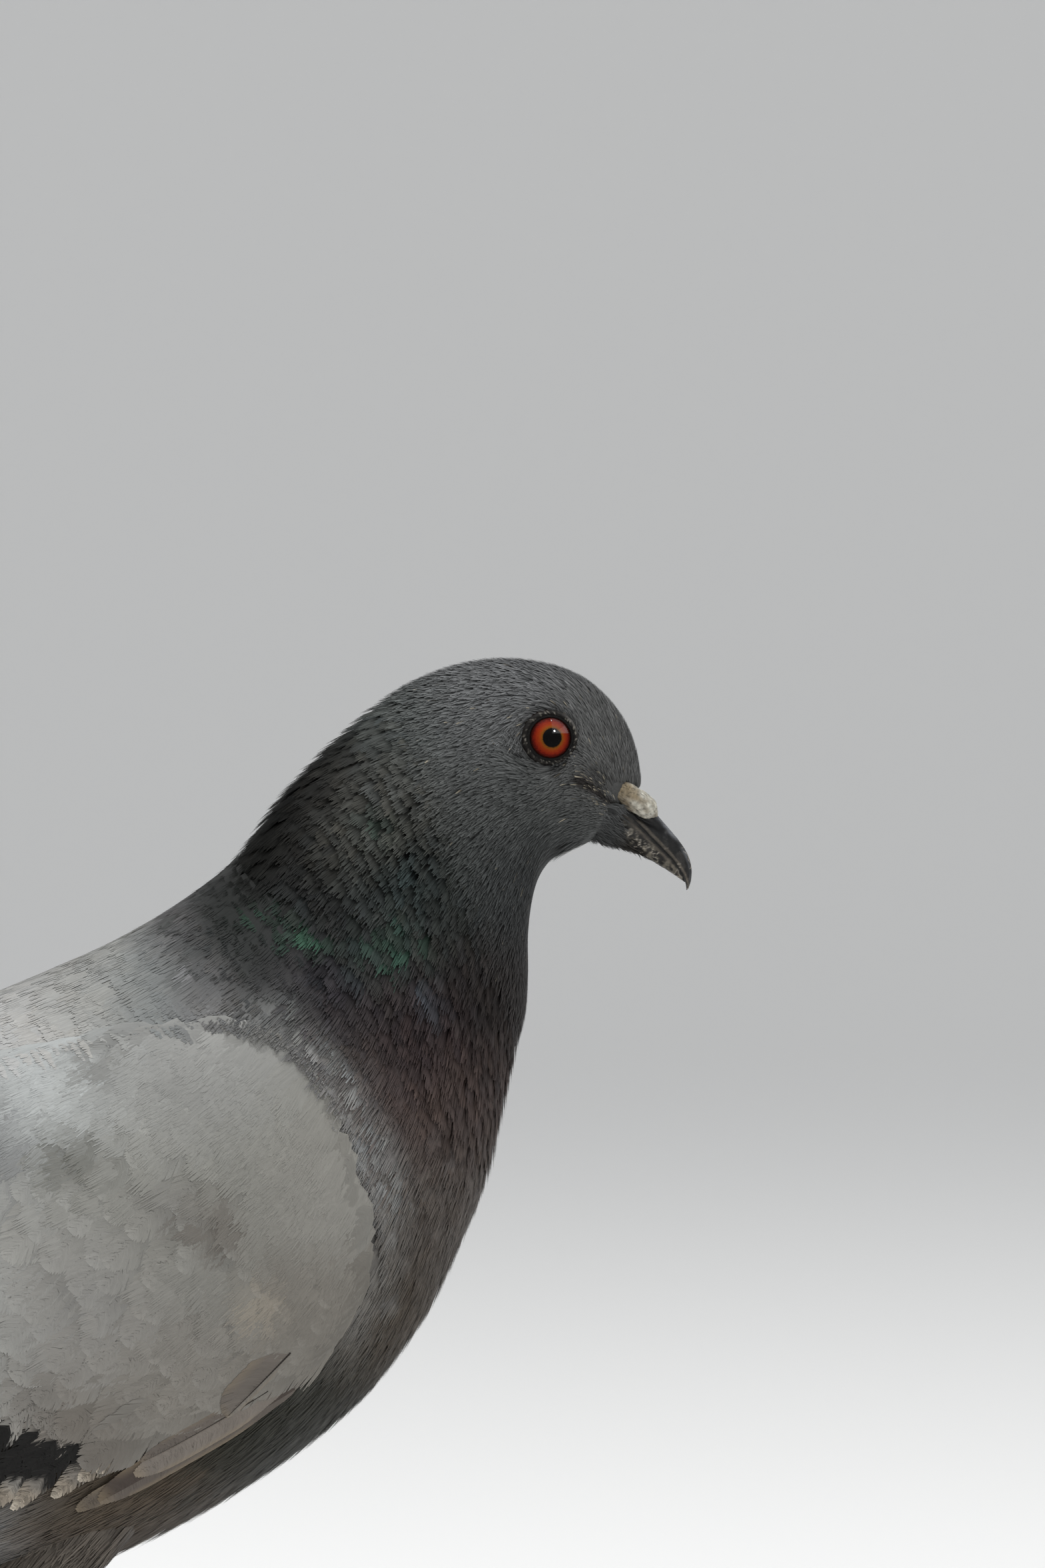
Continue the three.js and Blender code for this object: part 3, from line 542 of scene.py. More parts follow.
# Feathers: barbs to the millimetre, their contrast and depth in metres, roughness and sheen.
FEATHER_LOOKS = {
    "Face feathers": (3.0, 0.22, 0.00004, 0.62, 0.05),
    "Neck feathers": (2.0, 0.25, 0.00006, 0.55, 0.0),
    "Body feathers": (2.0, 0.12, 0.00004, 0.7, 0.08),
    "Wing coverts": (2.5, 0.07, 0.00003, 0.7, 0.08),
    "Flight feathers": (2.5, 0.16, 0.00005, 0.55, 0.03),
}
GLOSSY_ROUGHNESS = 0.38


def feather_material(name, gloss=False):
    """Feathers: the markings with fine barbs."""
    if name in bpy.data.materials:
        return bpy.data.materials[name]
    count, contrast, depth, roughness, sheen = FEATHER_LOOKS[name]
    material, tree, shader = new_material(name)
    marking = add(tree, "Attribute", attribute_name="Marking").outputs["Color"]
    vane = add(tree, "UVMap", uv_map="Vane").outputs["UV"]
    values = {"Colour": marking, "Vane": vane, "Count": count, "Contrast": contrast}
    textured(tree, shader, add(tree, "Group", values, node_tree=barb_group()), 0.6, depth)
    set_values(shader, Roughness=roughness, Sheen_Weight=sheen, Sheen_Roughness=0.4)
    set_values(shader, Specular_IOR_Level=0.05 if gloss else 0.2)
    if gloss:
        mask = add(tree, "Attribute", attribute_name="Gloss").outputs["Fac"]
        tree.links.new(mask, shader.inputs["Metallic"])
        rough = add(tree, "MapRange", {"Value": mask, "To Min": roughness, "To Max": GLOSSY_ROUGHNESS})
        tree.links.new(rough.outputs[0], shader.inputs["Roughness"])
    return material


# Skin, horn and scales: the flecks' colour, the grain's scale and contrast, how many flecks, the
# bumps' depth in metres, roughness, coat and specular level.
GRAINED_LOOKS = {
    "Skin under feathers": ("#6a625c", 900, 0.35, 0.05, 0.0003, 0.8, 0.0, 0.5),
    "Eye ring": ("#7d7870", 2600, 0.3, 0.02, 0.00012, 0.6, 0.0, 0.15),
    "Bill horn": ("#8d8982", 1500, 0.35, 0.03, 0.0002, 0.42, 0.06, 0.25),
    "Cere": ("#5c554c", 1300, 0.4, 0.05, 0.0004, 0.85, 0.0, 0.5),
    "Scaled skin": ("#c98f84", 1400, 0.22, 0.04, 0.0003, 0.48, 0.1, 0.5),
    "Claw horn": ("#6b625a", 1800, 0.25, 0.04, 0.0002, 0.4, 0.3, 0.5),
}


def grained_material(name):
    """Skin, horn and scales: the markings with patchy grain and flecks."""
    if name in bpy.data.materials:
        return bpy.data.materials[name]
    fleck, scale, contrast, flecks, depth, roughness, coat, gleam = GRAINED_LOOKS[name]
    material, tree, shader = new_material(name)
    marking = add(tree, "Attribute", attribute_name="Marking").outputs["Color"]
    values = {"Colour": marking, "Fleck": (*linear(fleck), 1), "Scale": scale, "Contrast": contrast, "Flecks": flecks}
    textured(tree, shader, add(tree, "Group", values, node_tree=grain_group()), 0.8, depth)
    set_values(shader, Roughness=roughness, Specular_IOR_Level=gleam, Coat_Weight=coat, Coat_Roughness=0.2)
    return material


# ---- plumage ----

BAKE_PATCH = 0.003  # the width of a tuft's patch in the bake map
BAKE_EDGE = 0.01


def in_rows(rng, t_range, surface, spacing, around, jitter):
    """Places in offset rows round a surface, like scales; spacing is between rows, around along them."""
    t, spots = t_range[0], []
    angles = np.linspace(0, TURN, 361)  # every degree
    odd = 0
    while t < t_range[1]:
        ring = surface.at(np.full(len(angles), t), angles)
        arc = np.concatenate([[0], np.cumsum(np.linalg.norm(np.diff(ring, axis=0), axis=1))])
        count = max(int(arc[-1] / around(t, 0)), 8)
        places = (np.arange(count) + 0.5 * odd + rng.normal(0, jitter, count)) / count * arc[-1]
        a = np.interp(np.mod(places, arc[-1]), arc, angles)
        along = pace(surface, np.full(count, t), a)[0]
        spots.append(np.stack([t + rng.normal(0, jitter, count) * spacing(t, a) / along, a]))
        t += spacing(t, a) / np.mean(along)
        odd = 1 - odd
    t, a = np.concatenate(spots, 1)
    return t, a


# A sequence whose places spread evenly over a square, however many are taken.
SPREAD_PLACES = 500000
SPREAD_T, SPREAD_A = 0.7548776662466927, 0.5698402909980532


def scatter(chosen, t_range, a_range, surface, spacing):
    """Even places on a surface: spacing is the distance between them, by place."""
    (low_t, high_t), (low_a, high_a) = t_range, a_range
    index = np.arange(1, SPREAD_PLACES + 1)
    t = low_t + (high_t - low_t) * np.mod(0.5 + index * SPREAD_T, 1)
    a = low_a + (high_a - low_a) * np.mod(0.5 + index * SPREAD_A, 1)
    along, across = pace(surface, t, a)
    wanted = along * across * (high_t - low_t) * (high_a - low_a) / spacing(t, a) ** 2
    keep = index < wanted
    t, a = t[keep], a[keep]
    kept = chosen(t, a)
    return t[kept], a[kept]


def by_station(stations, lengths):
    """A form's length in metres by station, from a table in millimetres."""
    return lambda t, a: np.interp(t, stations, lengths) * MM


def per_feather(value, t, a):
    """A form's value by feather: a number or a function of the place."""
    return value(t, a) if callable(value) else np.full(t.shape, float(value))


def bake_home(chart, t, a):
    """The place of each root on the unwrap of the surface that the feathers grow from."""
    shares = [(value - low) / (high - low) for value, (low, high) in zip((a, t), chart[::-1])]
    return BAKE_EDGE + (1 - 2 * BAKE_EDGE) * np.stack(shares, -1)


def strip_faces(strips, rows):
    """Quads of many strips, each of rows + 1 pairs of points."""
    cell = np.arange(rows)[:, None] * 2
    quad = np.concatenate([cell, cell + 1, cell + 3, cell + 2], 1)
    start = np.arange(strips)[:, None, None] * (rows + 1) * 2
    return (start + quad[None]).reshape(-1, 4)


def turn_out(points, faces, rows, out):
    """Turns each strip's faces to the side that out, one vector by strip, points to."""
    facing = np.einsum("ij,ij->i", face_normals(points, faces), np.repeat(out, rows, 0))
    flip = facing.reshape(-1, rows).sum(1) < 0
    return np.where(np.repeat(flip, rows)[:, None], faces[:, ::-1], faces)


def feathers(name, rng, surface, place, t, a, form, material, colour, chart, turn=None, gloss=None):
    """Small feathers, each a fan of barb strips that lies along the surface from its root.

    Of the form, length, width, low and high (of the root and the tip) are metres; strips and
    rows are counts; fray is how unevenly the strips end, round how far the tip is rounded. turn
    is each feather's heading from the surface's own, by place.
    """
    count = len(t)
    strips, rows = form["strips"], form["rows"]
    vary, thin = form.get("vary", 0.15), form.get("thin", 0.8)
    length = per_feather(form["length"], t, a) * rng.uniform(1 - vary, 1 + vary, count)
    width = per_feather(form["width"], t, a) * rng.uniform(0.9, 1.1, count)
    uneven = form["uneven"]
    low = per_feather(form["low"], t, a) + rng.normal(0, uneven, count)
    high = per_feather(form["high"], t, a) + rng.normal(0, uneven * 1.5, count)
    heading = (turn(t, a) if turn else 0) + rng.normal(0, form["stray"], count)
    along_pace, across_pace = pace(surface, t, a)

    by_feather = (slice(None), None, None, None)
    u = (np.arange(strips) + 0.5) / strips * 2 - 1 if strips > 1 else np.zeros(1)
    reach = 1 - form["round"] * u**2 + rng.normal(0, form["fray"], (count, strips))
    s = np.linspace(0, 1, rows + 1)
    share = s[None, None, :] * reach[:, :, None]
    spread = 0.45 + 0.55 * smooth(0.0, 0.5, share)
    bend = rng.normal(0, form["fray"] * 0.5, (count, strips, 1)) * share**2
    middle = (u[None, :, None] * spread + bend) * width[:, None, None] / 2
    taper = 1.25 * (1 - thin * smooth(form["taper"], 1.0, s))
    edge = taper[None, None, :] * width[:, None, None] / (2 * strips)
    sideways = np.stack([middle - edge, middle + edge], -1)
    forward = np.repeat((share * length[:, None, None])[..., None], 2, -1)
    c, n = np.cos(heading)[by_feather], np.sin(heading)[by_feather]
    tt = t[by_feather] + (forward * c - sideways * n) / along_pace[by_feather]
    aa = a[by_feather] + (forward * n + sideways * c) / across_pace[by_feather]
    share = np.repeat(share[..., None], 2, -1)
    rise = low[by_feather] + (high - low)[by_feather] * share
    crown = per_feather(form["crown"], t, a)[by_feather] * (1 - (sideways / (width[by_feather] / 2)) ** 2)
    ripple = rng.normal(0, uneven * 0.5, (count, strips, 1, 1)) * share
    points = place(tt, aa, rise + crown + ripple)

    middle = points[:, strips // 2, rows // 2, 0]
    base = colour(middle, t, a)
    streak = np.clip(1 + rng.normal(0, form["streak"], (count, strips, 1, 1, 1)), 0.35, 1.9)
    # Painted shade: each feather is darker towards its root, where its neighbours lie over it, and lighter towards its
    # tip.
    shade = 1 + form["tip"] * (share[..., None] - 0.6)
    # Painted shade in the gaps: darker where the next feathers' tips lie over it and along its side edges, as deep as
    # the form's dark says.
    if "gap" in form:
        dark = form["dark"](t, a)[by_feather]
        shade = shade * (1 - dark * smooth(form["gap"] + 0.12, form["gap"] + 0.02, share))[..., None]
        shade = shade * (1 - 0.7 * dark * smooth(0.7, 1.0, np.abs(u))[None, :, None, None])[..., None]
    if "soft" in form:
        blend = markings(points) / markings(middle)[:, None, None, None]
        shade = shade * (1 + form["soft"] * (blend - 1))
    colours = np.broadcast_to(base[:, None, None, None, :] * streak * shade, points.shape)

    out = place(t, a, 2 * MM) - place(t, a, 0.0)
    faces = turn_out(points, strip_faces(count * strips, rows), rows, out.repeat(strips, 0))
    home = bake_home(chart, t, a)[:, None, None, None]
    patch = np.stack([sideways / width[by_feather], share - 0.5], -1) * BAKE_PATCH
    streaks = np.stack([forward, sideways + rng.uniform(0, 0.2, count)[by_feather]], -1) / MM
    shine = None if gloss is None else np.broadcast_to(gloss(t, a)[by_feather], share.shape)
    return piece(name, points, faces, material, colours, shine, {"OFBake": home + patch, "Vane": streaks})


def outline_of(v, blunt):
    """A vane's half width along its shaft, as a share: narrow at its root and rounded at its tip."""
    rise = 0.35 + 0.65 * smooth(0.0, 0.4, v)
    fall = np.sqrt(np.clip(1 - ((v - blunt) / (1 - blunt)) ** 2, 0, 1))
    return rise * np.where(v > blunt, fall, 1.0)


def along_shaft(values, v):
    """Values sampled along each shaft, (n, steps, k), at places v, (n, ...), by lines between."""
    count, steps, _ = values.shape
    place = np.clip(v, 0, 1) * (steps - 1)
    i = np.clip(np.floor(place).astype(int), 0, steps - 2)
    f = (place - i)[..., None]
    n = np.arange(count).reshape((-1,) + (1,) * (v.ndim - 1))
    return values[n, i] * (1 - f) + values[n, i + 1] * f


LAST_BARB = 0.985  # where along the shaft the last barb grows


def vanes(rng, shaft, normal, half, form, colour, home, patch=BAKE_PATCH, mirror=1, drape=None):
    """Large feathers: a raised shaft with barbs on both sides that reach forward to the edge.

    shaft and normal are (n, steps, 3) and half is (n, 2), the half width to each side. colour is
    a function of the place along the shaft, the share out to the edge, and the points. mirror is
    -1 for the mirrored wing, so that the first half width stays the lower one. drape, if given,
    lays the points at places v along the shafts down on a surface.
    """
    count, barbs, parts = len(shaft), form["barbs"], form["parts"]
    span = np.diff(shaft, axis=1)
    length = np.linalg.norm(span, axis=2).sum(1)
    aside = unit(np.cross(normal, unit(np.gradient(shaft, axis=1))) * mirror)

    pitch = (LAST_BARB - form["bare"]) / (barbs - 1)
    root = np.linspace(form["bare"], LAST_BARB, barbs) + rng.normal(0, 0.12, (count, 2, barbs)) * pitch
    lean = form["lean"] * half[:, :, None] / length[:, None, None]
    end = np.minimum(root + lean * (1 - root**3), 1.0)
    reach = half[:, :, None] * outline_of(end, form["blunt"])
    reach = reach * (1 - form["fray"] * rng.random((count, 2, barbs)) ** 3)
    q = np.linspace(0, 1, parts + 1)
    v = root[..., None] + (end - root)[..., None] * (0.35 * q + 0.65 * q * q)
    out = reach[..., None] * (1.2 * q - 0.2 * q * q)
    wide = 0.5 * pitch * form["overlap"] * (1 - form["thin"] * q**3)
    v = np.stack([v - wide, v + wide], -1)
    out = np.repeat(out[..., None], 2, -1)
    sign = np.array([1.0, -1.0])[None, :, None, None, None]
    share = out / half[:, :, None, None, None]
    lift = -form["camber"] * share**2 + rng.normal(0, form["uneven"], (count, 2, barbs, 1, 1)) * share
    points = along_shaft(shaft, v) + along_shaft(aside, v) * (sign * out)[..., None]
    if drape:
        points = drape(points, v)
    points = points + along_shaft(normal, v) * lift[..., None]
    streak = 1 + rng.normal(0, form["streak"], (count, 2, barbs, 1, 1, 1))
    root_line = along_shaft(shaft, root)[:, :, :, None, None]
    colours = colour(v, share, np.broadcast_to(root_line, points.shape), sign) * streak
    face_out = along_shaft(normal, root).reshape(-1, 3)
    faces = turn_out(points, strip_faces(count * 2 * barbs, parts), parts, face_out)
    spots = np.stack(np.broadcast_arrays(sign * share / 2, v - 0.5), -1)
    bake = home[:, None, None, None, None] + spots * patch
    number = np.arange(barbs)[None, None, :, None, None] + np.array([-0.5, 0.5])
    streaks = np.stack(np.broadcast_arrays(out / MM, number * 0.6), -1)

    ridge = form["ridge"]
    rows = np.linspace(0.0, 0.97, ridge + 1)
    rv = np.broadcast_to(rows, (count, ridge + 1))
    thick = (form["shaft"] * (1 - 0.75 * rows))[None, :, None, None]
    across = np.array([-1.0, 0.0, 1.0])[None, None, :, None]
    heights = np.array([0.0, 0.7, 0.0])[None, None, :, None] + 0.15
    quill = along_shaft(shaft, rv)[:, :, None] + along_shaft(aside, rv)[:, :, None] * across * thick
    quill = quill + along_shaft(normal, rv)[:, :, None] * heights * thick
    quill_colours = np.broadcast_to(form["shaft_colour"], quill.shape)
    i = np.arange(ridge)[:, None] * 3
    cells = np.concatenate([np.stack([i + j, i + j + 3, i + j + 4, i + j + 1], -1) for j in (0, 1)], 1)
    starts = np.arange(count)[:, None, None] * (ridge + 1) * 3
    quill_faces = (starts + cells.reshape(-1, 4)[None]).reshape(-1, 4)
    quill_faces = turn_out(quill, quill_faces, 1, normal.mean(1).repeat(2 * ridge, 0))
    quill_spots = np.stack(np.broadcast_arrays(np.zeros(3), rv[..., None] - 0.5), -1)
    quill_bake = home[:, None, None] + quill_spots * patch
    quill_streaks = np.stack(np.broadcast_arrays(rv[..., None] * 10, np.zeros(3)), -1)

    colours = np.clip(np.broadcast_to(colours, points.shape), 0, 1)
    vane = (points.reshape(-1, 3), faces, colours.reshape(-1, 3), bake.reshape(-1, 2), streaks.reshape(-1, 2))
    return joined([vane, (
        quill.reshape(-1, 3), quill_faces, np.clip(quill_colours, 0, 1).reshape(-1, 3),
        quill_bake.reshape(-1, 2), quill_streaks.reshape(-1, 2),
    )])


def joined(parts):
    """Meshes as one: each has its points, its faces and what goes with its points or corners."""
    points, faces, *others = zip(*parts)
    starts = np.cumsum([0] + [len(part) for part in points])
    faces = [quads + start for quads, start in zip(faces, starts)]
    return [np.concatenate(arrays) for arrays in (points, faces, *others)]


def feather_piece(name, parts, material):
    points, faces, colours, bake, streaks = joined(parts)
    return piece(name, points, faces, material, colours, None, {"OFBake": bake, "Vane": streaks})


# ---- skin ----

ROUND = (0.0, TURN)
TRUNK_CHART = ((0.0, 23.0), ROUND)
FOLD_CHART = ((9.0, 24.0), ROUND)
LIMB_CHART = ((0.0, 2.0), ROUND)
THIGH_ROWS = [[33, 18.5, 62, 12, 11.5], [22.5, 20.0, 49.5, 9.0, 9.6], [10, 21.0, 36, 4.2, 5.0]]
HEEL = (10.6, 21.0, 35.8)
FOOT = (22.5, 21.0, 5.2)
# Toes: length, heading in degrees outwards from forwards, half width, scutes.
TOES = {
    "inner": (21, -34, 2.1, 11),
    "middle": (29, -3, 2.4, 15),
    "outer": (24, 30, 2.1, 13),
    "hind": (14, 168, 2.0, 7),
}


def at_design(x, y, z):
    """A point given in the drawing's millimetres, in metres in the frame."""
    return np.array([x + SHIFT, y, z]) * MM


def coat_depth(t):
    """How far under the plumage's outside the skin lies, by station."""
    return np.interp(t, [0, 2, 5, 8, 11, 18, 21, 23], [0.5, 1.0, 1.4, 3.0, 4.6, 4.6, 2.6, 1.2]) * MM


def make_skin():
    last, columns = 23, 96
    t = np.linspace(0, last, 150)
    points, faces = tube(TRUNK.at(t[:, None], circle(columns)[None, :], -coat_depth(t)[:, None]))
    # The map is by corner, so that the last column's faces end at the map's edge.
    ring = faces % columns
    wraps = ring.max(1) - ring.min(1) > 1
    ring = np.where(wraps[:, None] & (ring == 0), columns, ring)
    row = np.clip(faces // columns - 1, 0, len(t) - 1)
    uv = bake_home(TRUNK_CHART, t[row], ring * (TURN / columns))
    points = points.reshape(-1, 3)
    # Painted shade: the skin under the feathers is dark, the trunk's a darker copy of the plumage's markings.
    sheets = [(points, faces, markings(points) * 0.55, uv.reshape(-1, 2))]
    for side in SIDES.values():
        limb = Limb([[x, side * y, z, r - 2.2, d - 2.2] for x, y, z, r, d in THIGH_ROWS])
        rings, faces = tube(limb.at(np.linspace(0, 2, 20)[:, None], circle(32)[None]))
        rings = rings.reshape(-1, 3)
        station, turn = TRUNK.chart(rings[:, 0], rings[:, 2])
        uv = bake_home(TRUNK_CHART, np.clip(station, 0, last), turn if side < 0 else TURN - turn)[faces]
        sheets.append((rings, faces, np.tile(linear("#4a4440"), (len(rings), 1)), uv.reshape(-1, 2)))
    points, faces, colours, uv = joined(sheets)
    skin = piece(
        "skin", points, faces, grained_material("Skin under feathers"), colours, None, {"OFBake": uv}
    )
    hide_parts("head", "neck", "torso", "thigh_right", "thigh_left")


# ---- eyes ----

EYE_YAW = 12.0
IRIS_EDGE = 3.7
PUPIL = 1.66
SKY_FROM = 1.3  # how far over the pupil's middle the eye mirrors the sky


def eye_frame(side):
    """The middle of the eyeball and its axes: across, up and out, in the frame."""
    low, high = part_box("eye_right" if side < 0 else "eye_left")
    centre = np.array([(p + q) / 2 for p, q in zip(low, high)])
    yaw = math.radians(EYE_YAW)
    out = np.array([math.sin(yaw), side * math.cos(yaw), 0.0])
    up = np.array([0.0, 0.0, 1.0])
    return centre, np.cross(up, out), up, out


def iris_material():
    if "Iris" in bpy.data.materials:
        return bpy.data.materials["Iris"]
    material, tree, shader = new_material("Iris")
    place = add(tree, "Attribute", attribute_name="Iris").outputs["Vector"]
    ahead, above, radius = add(tree, "SeparateXYZ", {"Vector": place}).outputs
    noise = add(tree, "TexNoise", {"Vector": place, "Scale": 4.0, "Detail": 5.0, "Roughness": 0.7})
    spokes = noise.outputs["Fac"]
    value = {"Value": spokes, "From Min": 0.25, "From Max": 0.75, "To Min": -0.25, "To Max": 0.25}
    ragged = add(tree, "Math", {0: radius, 1: add(tree, "MapRange", value).outputs[0]}, operation="ADD")
    share = add(tree, "Math", {0: ragged.outputs[0], 1: 4.0}, operation="DIVIDE")
    ramp = add(tree, "ValToRGB", {"Fac": share.outputs[0]})
    stops = [
        (0.0, "#040304"), (0.395, "#0a0603"), (0.435, "#5c3610"), (0.49, "#74420f"), (0.56, "#84330d"),
        (0.70, "#7a210b"), (0.80, "#591108"), (0.865, "#350b05"), (0.93, "#1a0a07"),
    ]
    while len(ramp.color_ramp.elements) < len(stops):
        ramp.color_ramp.elements.new(0.5)
    for element, (at, shade) in zip(ramp.color_ramp.elements, stops):
        element.position = at
        element.color = (*linear(shade), 1)
    pupil = add(tree, "MapRange", {"Value": radius, "From Min": PUPIL, "From Max": PUPIL + 0.12})
    black = (0.002, 0.002, 0.002, 1)
    tree.links.new(mixed(tree, pupil.outputs[0], black, ramp.outputs["Color"]), shader.inputs["Base Color"])
    bump = add(tree, "Bump", {"Height": spokes, "Strength": 0.4, "Distance": 0.0001})
    tree.links.new(bump.outputs["Normal"], shader.inputs["Normal"])
    # The brow shades the wet surface except forwards and up, where it mirrors the sky.
    forward = add(tree, "Math", {0: ahead, 1: radius}, operation="MULTIPLY")
    high = add(tree, "Math", {0: above, 1: radius, 2: -SKY_FROM}, operation="MULTIPLY_ADD")
    open_sky = add(tree, "Math", {0: forward.outputs[0], 1: high.outputs[0]}, operation="MINIMUM")
    mirror = add(tree, "MapRange", {"Value": open_sky.outputs[0], "From Min": -0.1, "From Max": 0.15})
    tree.links.new(mirror.outputs[0], shader.inputs["Coat Weight"])
    set_values(shader, Roughness=0.5, Specular_IOR_Level=0.05, Coat_Roughness=0.02, Coat_IOR=2.0)
    return material


def make_eyes(sizes):
    ball, bulge = sizes.eyeball / MM, 0.35
    for name, side in SIDES.items():
        centre, across, up, out = eye_frame(side)
        bpy.ops.object.select_all(action="DESELECT")
        bpy.ops.mesh.primitive_uv_sphere_add(segments=64, ring_count=48, radius=ball * MM)
        eye = bpy.context.object
        eye.name = eye.data.name = f"eyeball_{name}"
        bpy.ops.object.shade_smooth()
        mesh = eye.data
        points = np.empty(len(mesh.vertices) * 3, np.float32)
        mesh.vertices.foreach_get("co", points)
        points = points.reshape(-1, 3).astype(float) / MM
        radius = np.hypot(points[:, 0], points[:, 1])
        spin = np.arctan2(points[:, 1], points[:, 0])
        front = points[:, 2] > 0
        points[:, 2] += np.where(front, bulge * smooth(4.2, 0.0, radius), 0)
        reach = np.where(front, radius, 5.0)
        marks = np.stack([np.cos(spin) * -1.6 * side, np.sin(spin) * 1.6, reach], -1)
        basis = np.stack([across, up, out])
        mesh.vertices.foreach_set("co", (centre + points * MM @ basis).astype(np.float32).ravel())
        layer = mesh.attributes.new("Iris", "FLOAT_VECTOR", "POINT")
        layer.data.foreach_set("vector", marks.astype(np.float32).ravel())
        mesh.materials.append(iris_material())
        mesh.update()
        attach(eye, BODY)
        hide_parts(f"eye_{name}")

        rng = default_rng(31)
        turns, rows = 120, LID_PROFILE
        angle = circle(turns)
        ring = np.repeat(np.array(rows)[:, None, :], turns, 1)
        beads = 0.5 + 0.5 * np.cos(angle[None] * 31 + np.arange(len(rows))[:, None] * 2.4 + 2 * np.sin(angle[None] * 5))
        grit = rng.normal(0, 1, (len(rows), turns))
        amount = np.array([0, 0, 0.3, 0.5, 0.3, 0.2, 0.9, 1, 0.7, 0, 0, 0])[:, None]
        ring[..., 1] += amount * (0.13 * beads + 0.04 * grit)
        ring[..., 0] += amount * 0.03 * grit
        sight = math.sqrt(ball**2 - IRIS_EDGE**2)
        oval = 1 + 0.02 * np.cos(2 * angle)
        r, h = ring[..., 0] * oval, ring[..., 1] + sight
        c, s = np.cos(angle)[:, None], np.sin(angle)[:, None]
        lid = r[..., None] * (c * across + s * up) + h[..., None] * out
        lid = centre + lid * MM
        faces = grid_faces(len(rows), turns)
        faces = np.concatenate([faces, join_rows(len(rows) - 1, 0, turns)])
        spoke = lid.mean(0)[faces[:, 0] % turns]
        away = lid.reshape(-1, 3)[faces].mean(1) - spoke
        if np.einsum("ij,ij->i", face_normals(lid, faces), away).sum() < 0:
            faces = faces[:, ::-1]
        crust = rng.random((len(rows), turns, 1)) ** 12 * amount[..., None] * smooth(3.9, 4.6, ring[..., :1])
        shade = linear("#100e0d") * (0.6 + 0.7 * beads[..., None] * amount[..., None])
        shade = toward(shade, "#1d1a18", 0.5 * smooth(4.3, 4.7, ring[..., 0]))
        # A painted highlight along the ring's outer edge, forwards and up; pale grains of crust lie over all.
        forward = np.arctan2(np.sin(angle), -side * np.cos(angle))[None]
        lit = bell((forward - 0.55) / 0.45) * smooth(4.5, 4.8, ring[..., 0])
        shade = toward(toward(shade, "#8a8783", 0.4 * lit), "#8f8a80", np.clip(crust, 0, 0.7)[..., 0])
        ring_piece = piece(f"eye_ring_{name}", lid, faces, grained_material("Eye ring"), shade)
        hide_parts(f"lid_{name}")


# Radius and height over the iris's edge round the lid, from inside to outside and back under.
LID_PROFILE = [
    [3.66, -0.45], [3.68, -0.02], [3.75, 0.16], [3.92, 0.24], [4.08, 0.14], [4.20, 0.02], [4.34, 0.14],
    [4.56, 0.18], [4.80, 0.04], [5.10, -0.45], [4.90, -1.0], [4.0, -1.2],
]


def join_rows(last, first, columns):
    """Quads that join one row of a grid to another."""
    j = np.arange(columns)
    k = (j + 1) % columns
    return np.stack([last * columns + j, first * columns + j, first * columns + k, last * columns + k], -1)


# ---- bill ----

BILL_ROOT = (121.8, 178.65)
BILL_PITCH = math.radians(-46)
CERE_LEAN = 36  # degrees down from forwards
CERE_SPREAD = 19  # degrees that each lobe turns outwards towards the rear
CERE_MIDDLE = (0.8, 4.2)
CERE_HALF = [4.75, 2.1, 2.25]
# [along, top, bottom, half width]
UPPER_BILL = [
    [-0.4, 6.0, 1.4, 3.9], [4.0, 5.3, 1.7, 3.5], [7.8, 5.1, 1.7, 2.8], [11.6, 4.85, 1.75, 2.4],
    [14.2, 4.3, 1.6, 2.0], [16.4, 3.2, 1.1, 1.5], [18.0, 1.6, 0.35, 0.85], [18.85, 0.1, -0.3, 0.25],
]
LOWER_BILL = [
    [-3.0, 2.0, -6.2, 5.2], [0.5, 2.0, -5.3, 4.3], [4.0, 2.2, -3.8, 3.2], [7.8, 2.2, -2.1, 2.3], [11.6, 2.2, -1.0, 1.9],
    [14.2, 1.9, -0.3, 1.6], [16.4, 1.1, 0.15, 0.85], [17.7, 0.72, 0.42, 0.25],
]


def bill_point(a, b, y):
    """Points of the bill: a along it, b up from its axis and y to the left, in millimetres."""
    c, s = math.cos(BILL_PITCH), math.sin(BILL_PITCH)
    x = BILL_ROOT[0] + SHIFT + a * c - b * s
    z = BILL_ROOT[1] + a * s + b * c
    return np.stack(np.broadcast_arrays(x, y, z), -1) * MM


def turned(x, y, degrees):
    """Coordinates turned from the first axis towards the second."""
    c, s = math.cos(math.radians(degrees)), math.sin(math.radians(degrees))
    return x * c - y * s, x * s + y * c


def waves(points, scale, rng, count=24):
    """Smooth random relief, about -1 to 1, with bumps about scale across."""
    ways = unit(rng.normal(0, 1, (count, 3)))
    ways *= TURN / (scale * rng.uniform(0.7, 1.6, (count, 1)))
    phase = rng.uniform(0, TURN, count)
    flat = points.reshape(-1, 3)
    return (np.cos(flat @ ways.T + phase).sum(1) * math.sqrt(2.0 / count)).reshape(points.shape[:-1]) / 1.6


def bill_half(rows, flat, steps, turns):
    """One half of the bill; flat names its flat side."""
    t = np.linspace(0, len(rows) - 1, steps)
    a, top, bottom, half = spline(rows, t).T[:, :, None]
    angle = circle(turns)[None]
    level, depth = (bottom, top - bottom) if flat == "bottom" else (top, bottom - top)
    rise = np.maximum(np.cos(angle), 0)
    hollow = -0.12 * np.maximum(-np.cos(angle), 0) * np.sign(depth)
    b = level + rise**0.9 * depth + hollow
    y = np.sin(angle) * half * (1 - 0.12 * rise)
    return np.broadcast_to(a, b.shape).copy(), b, y


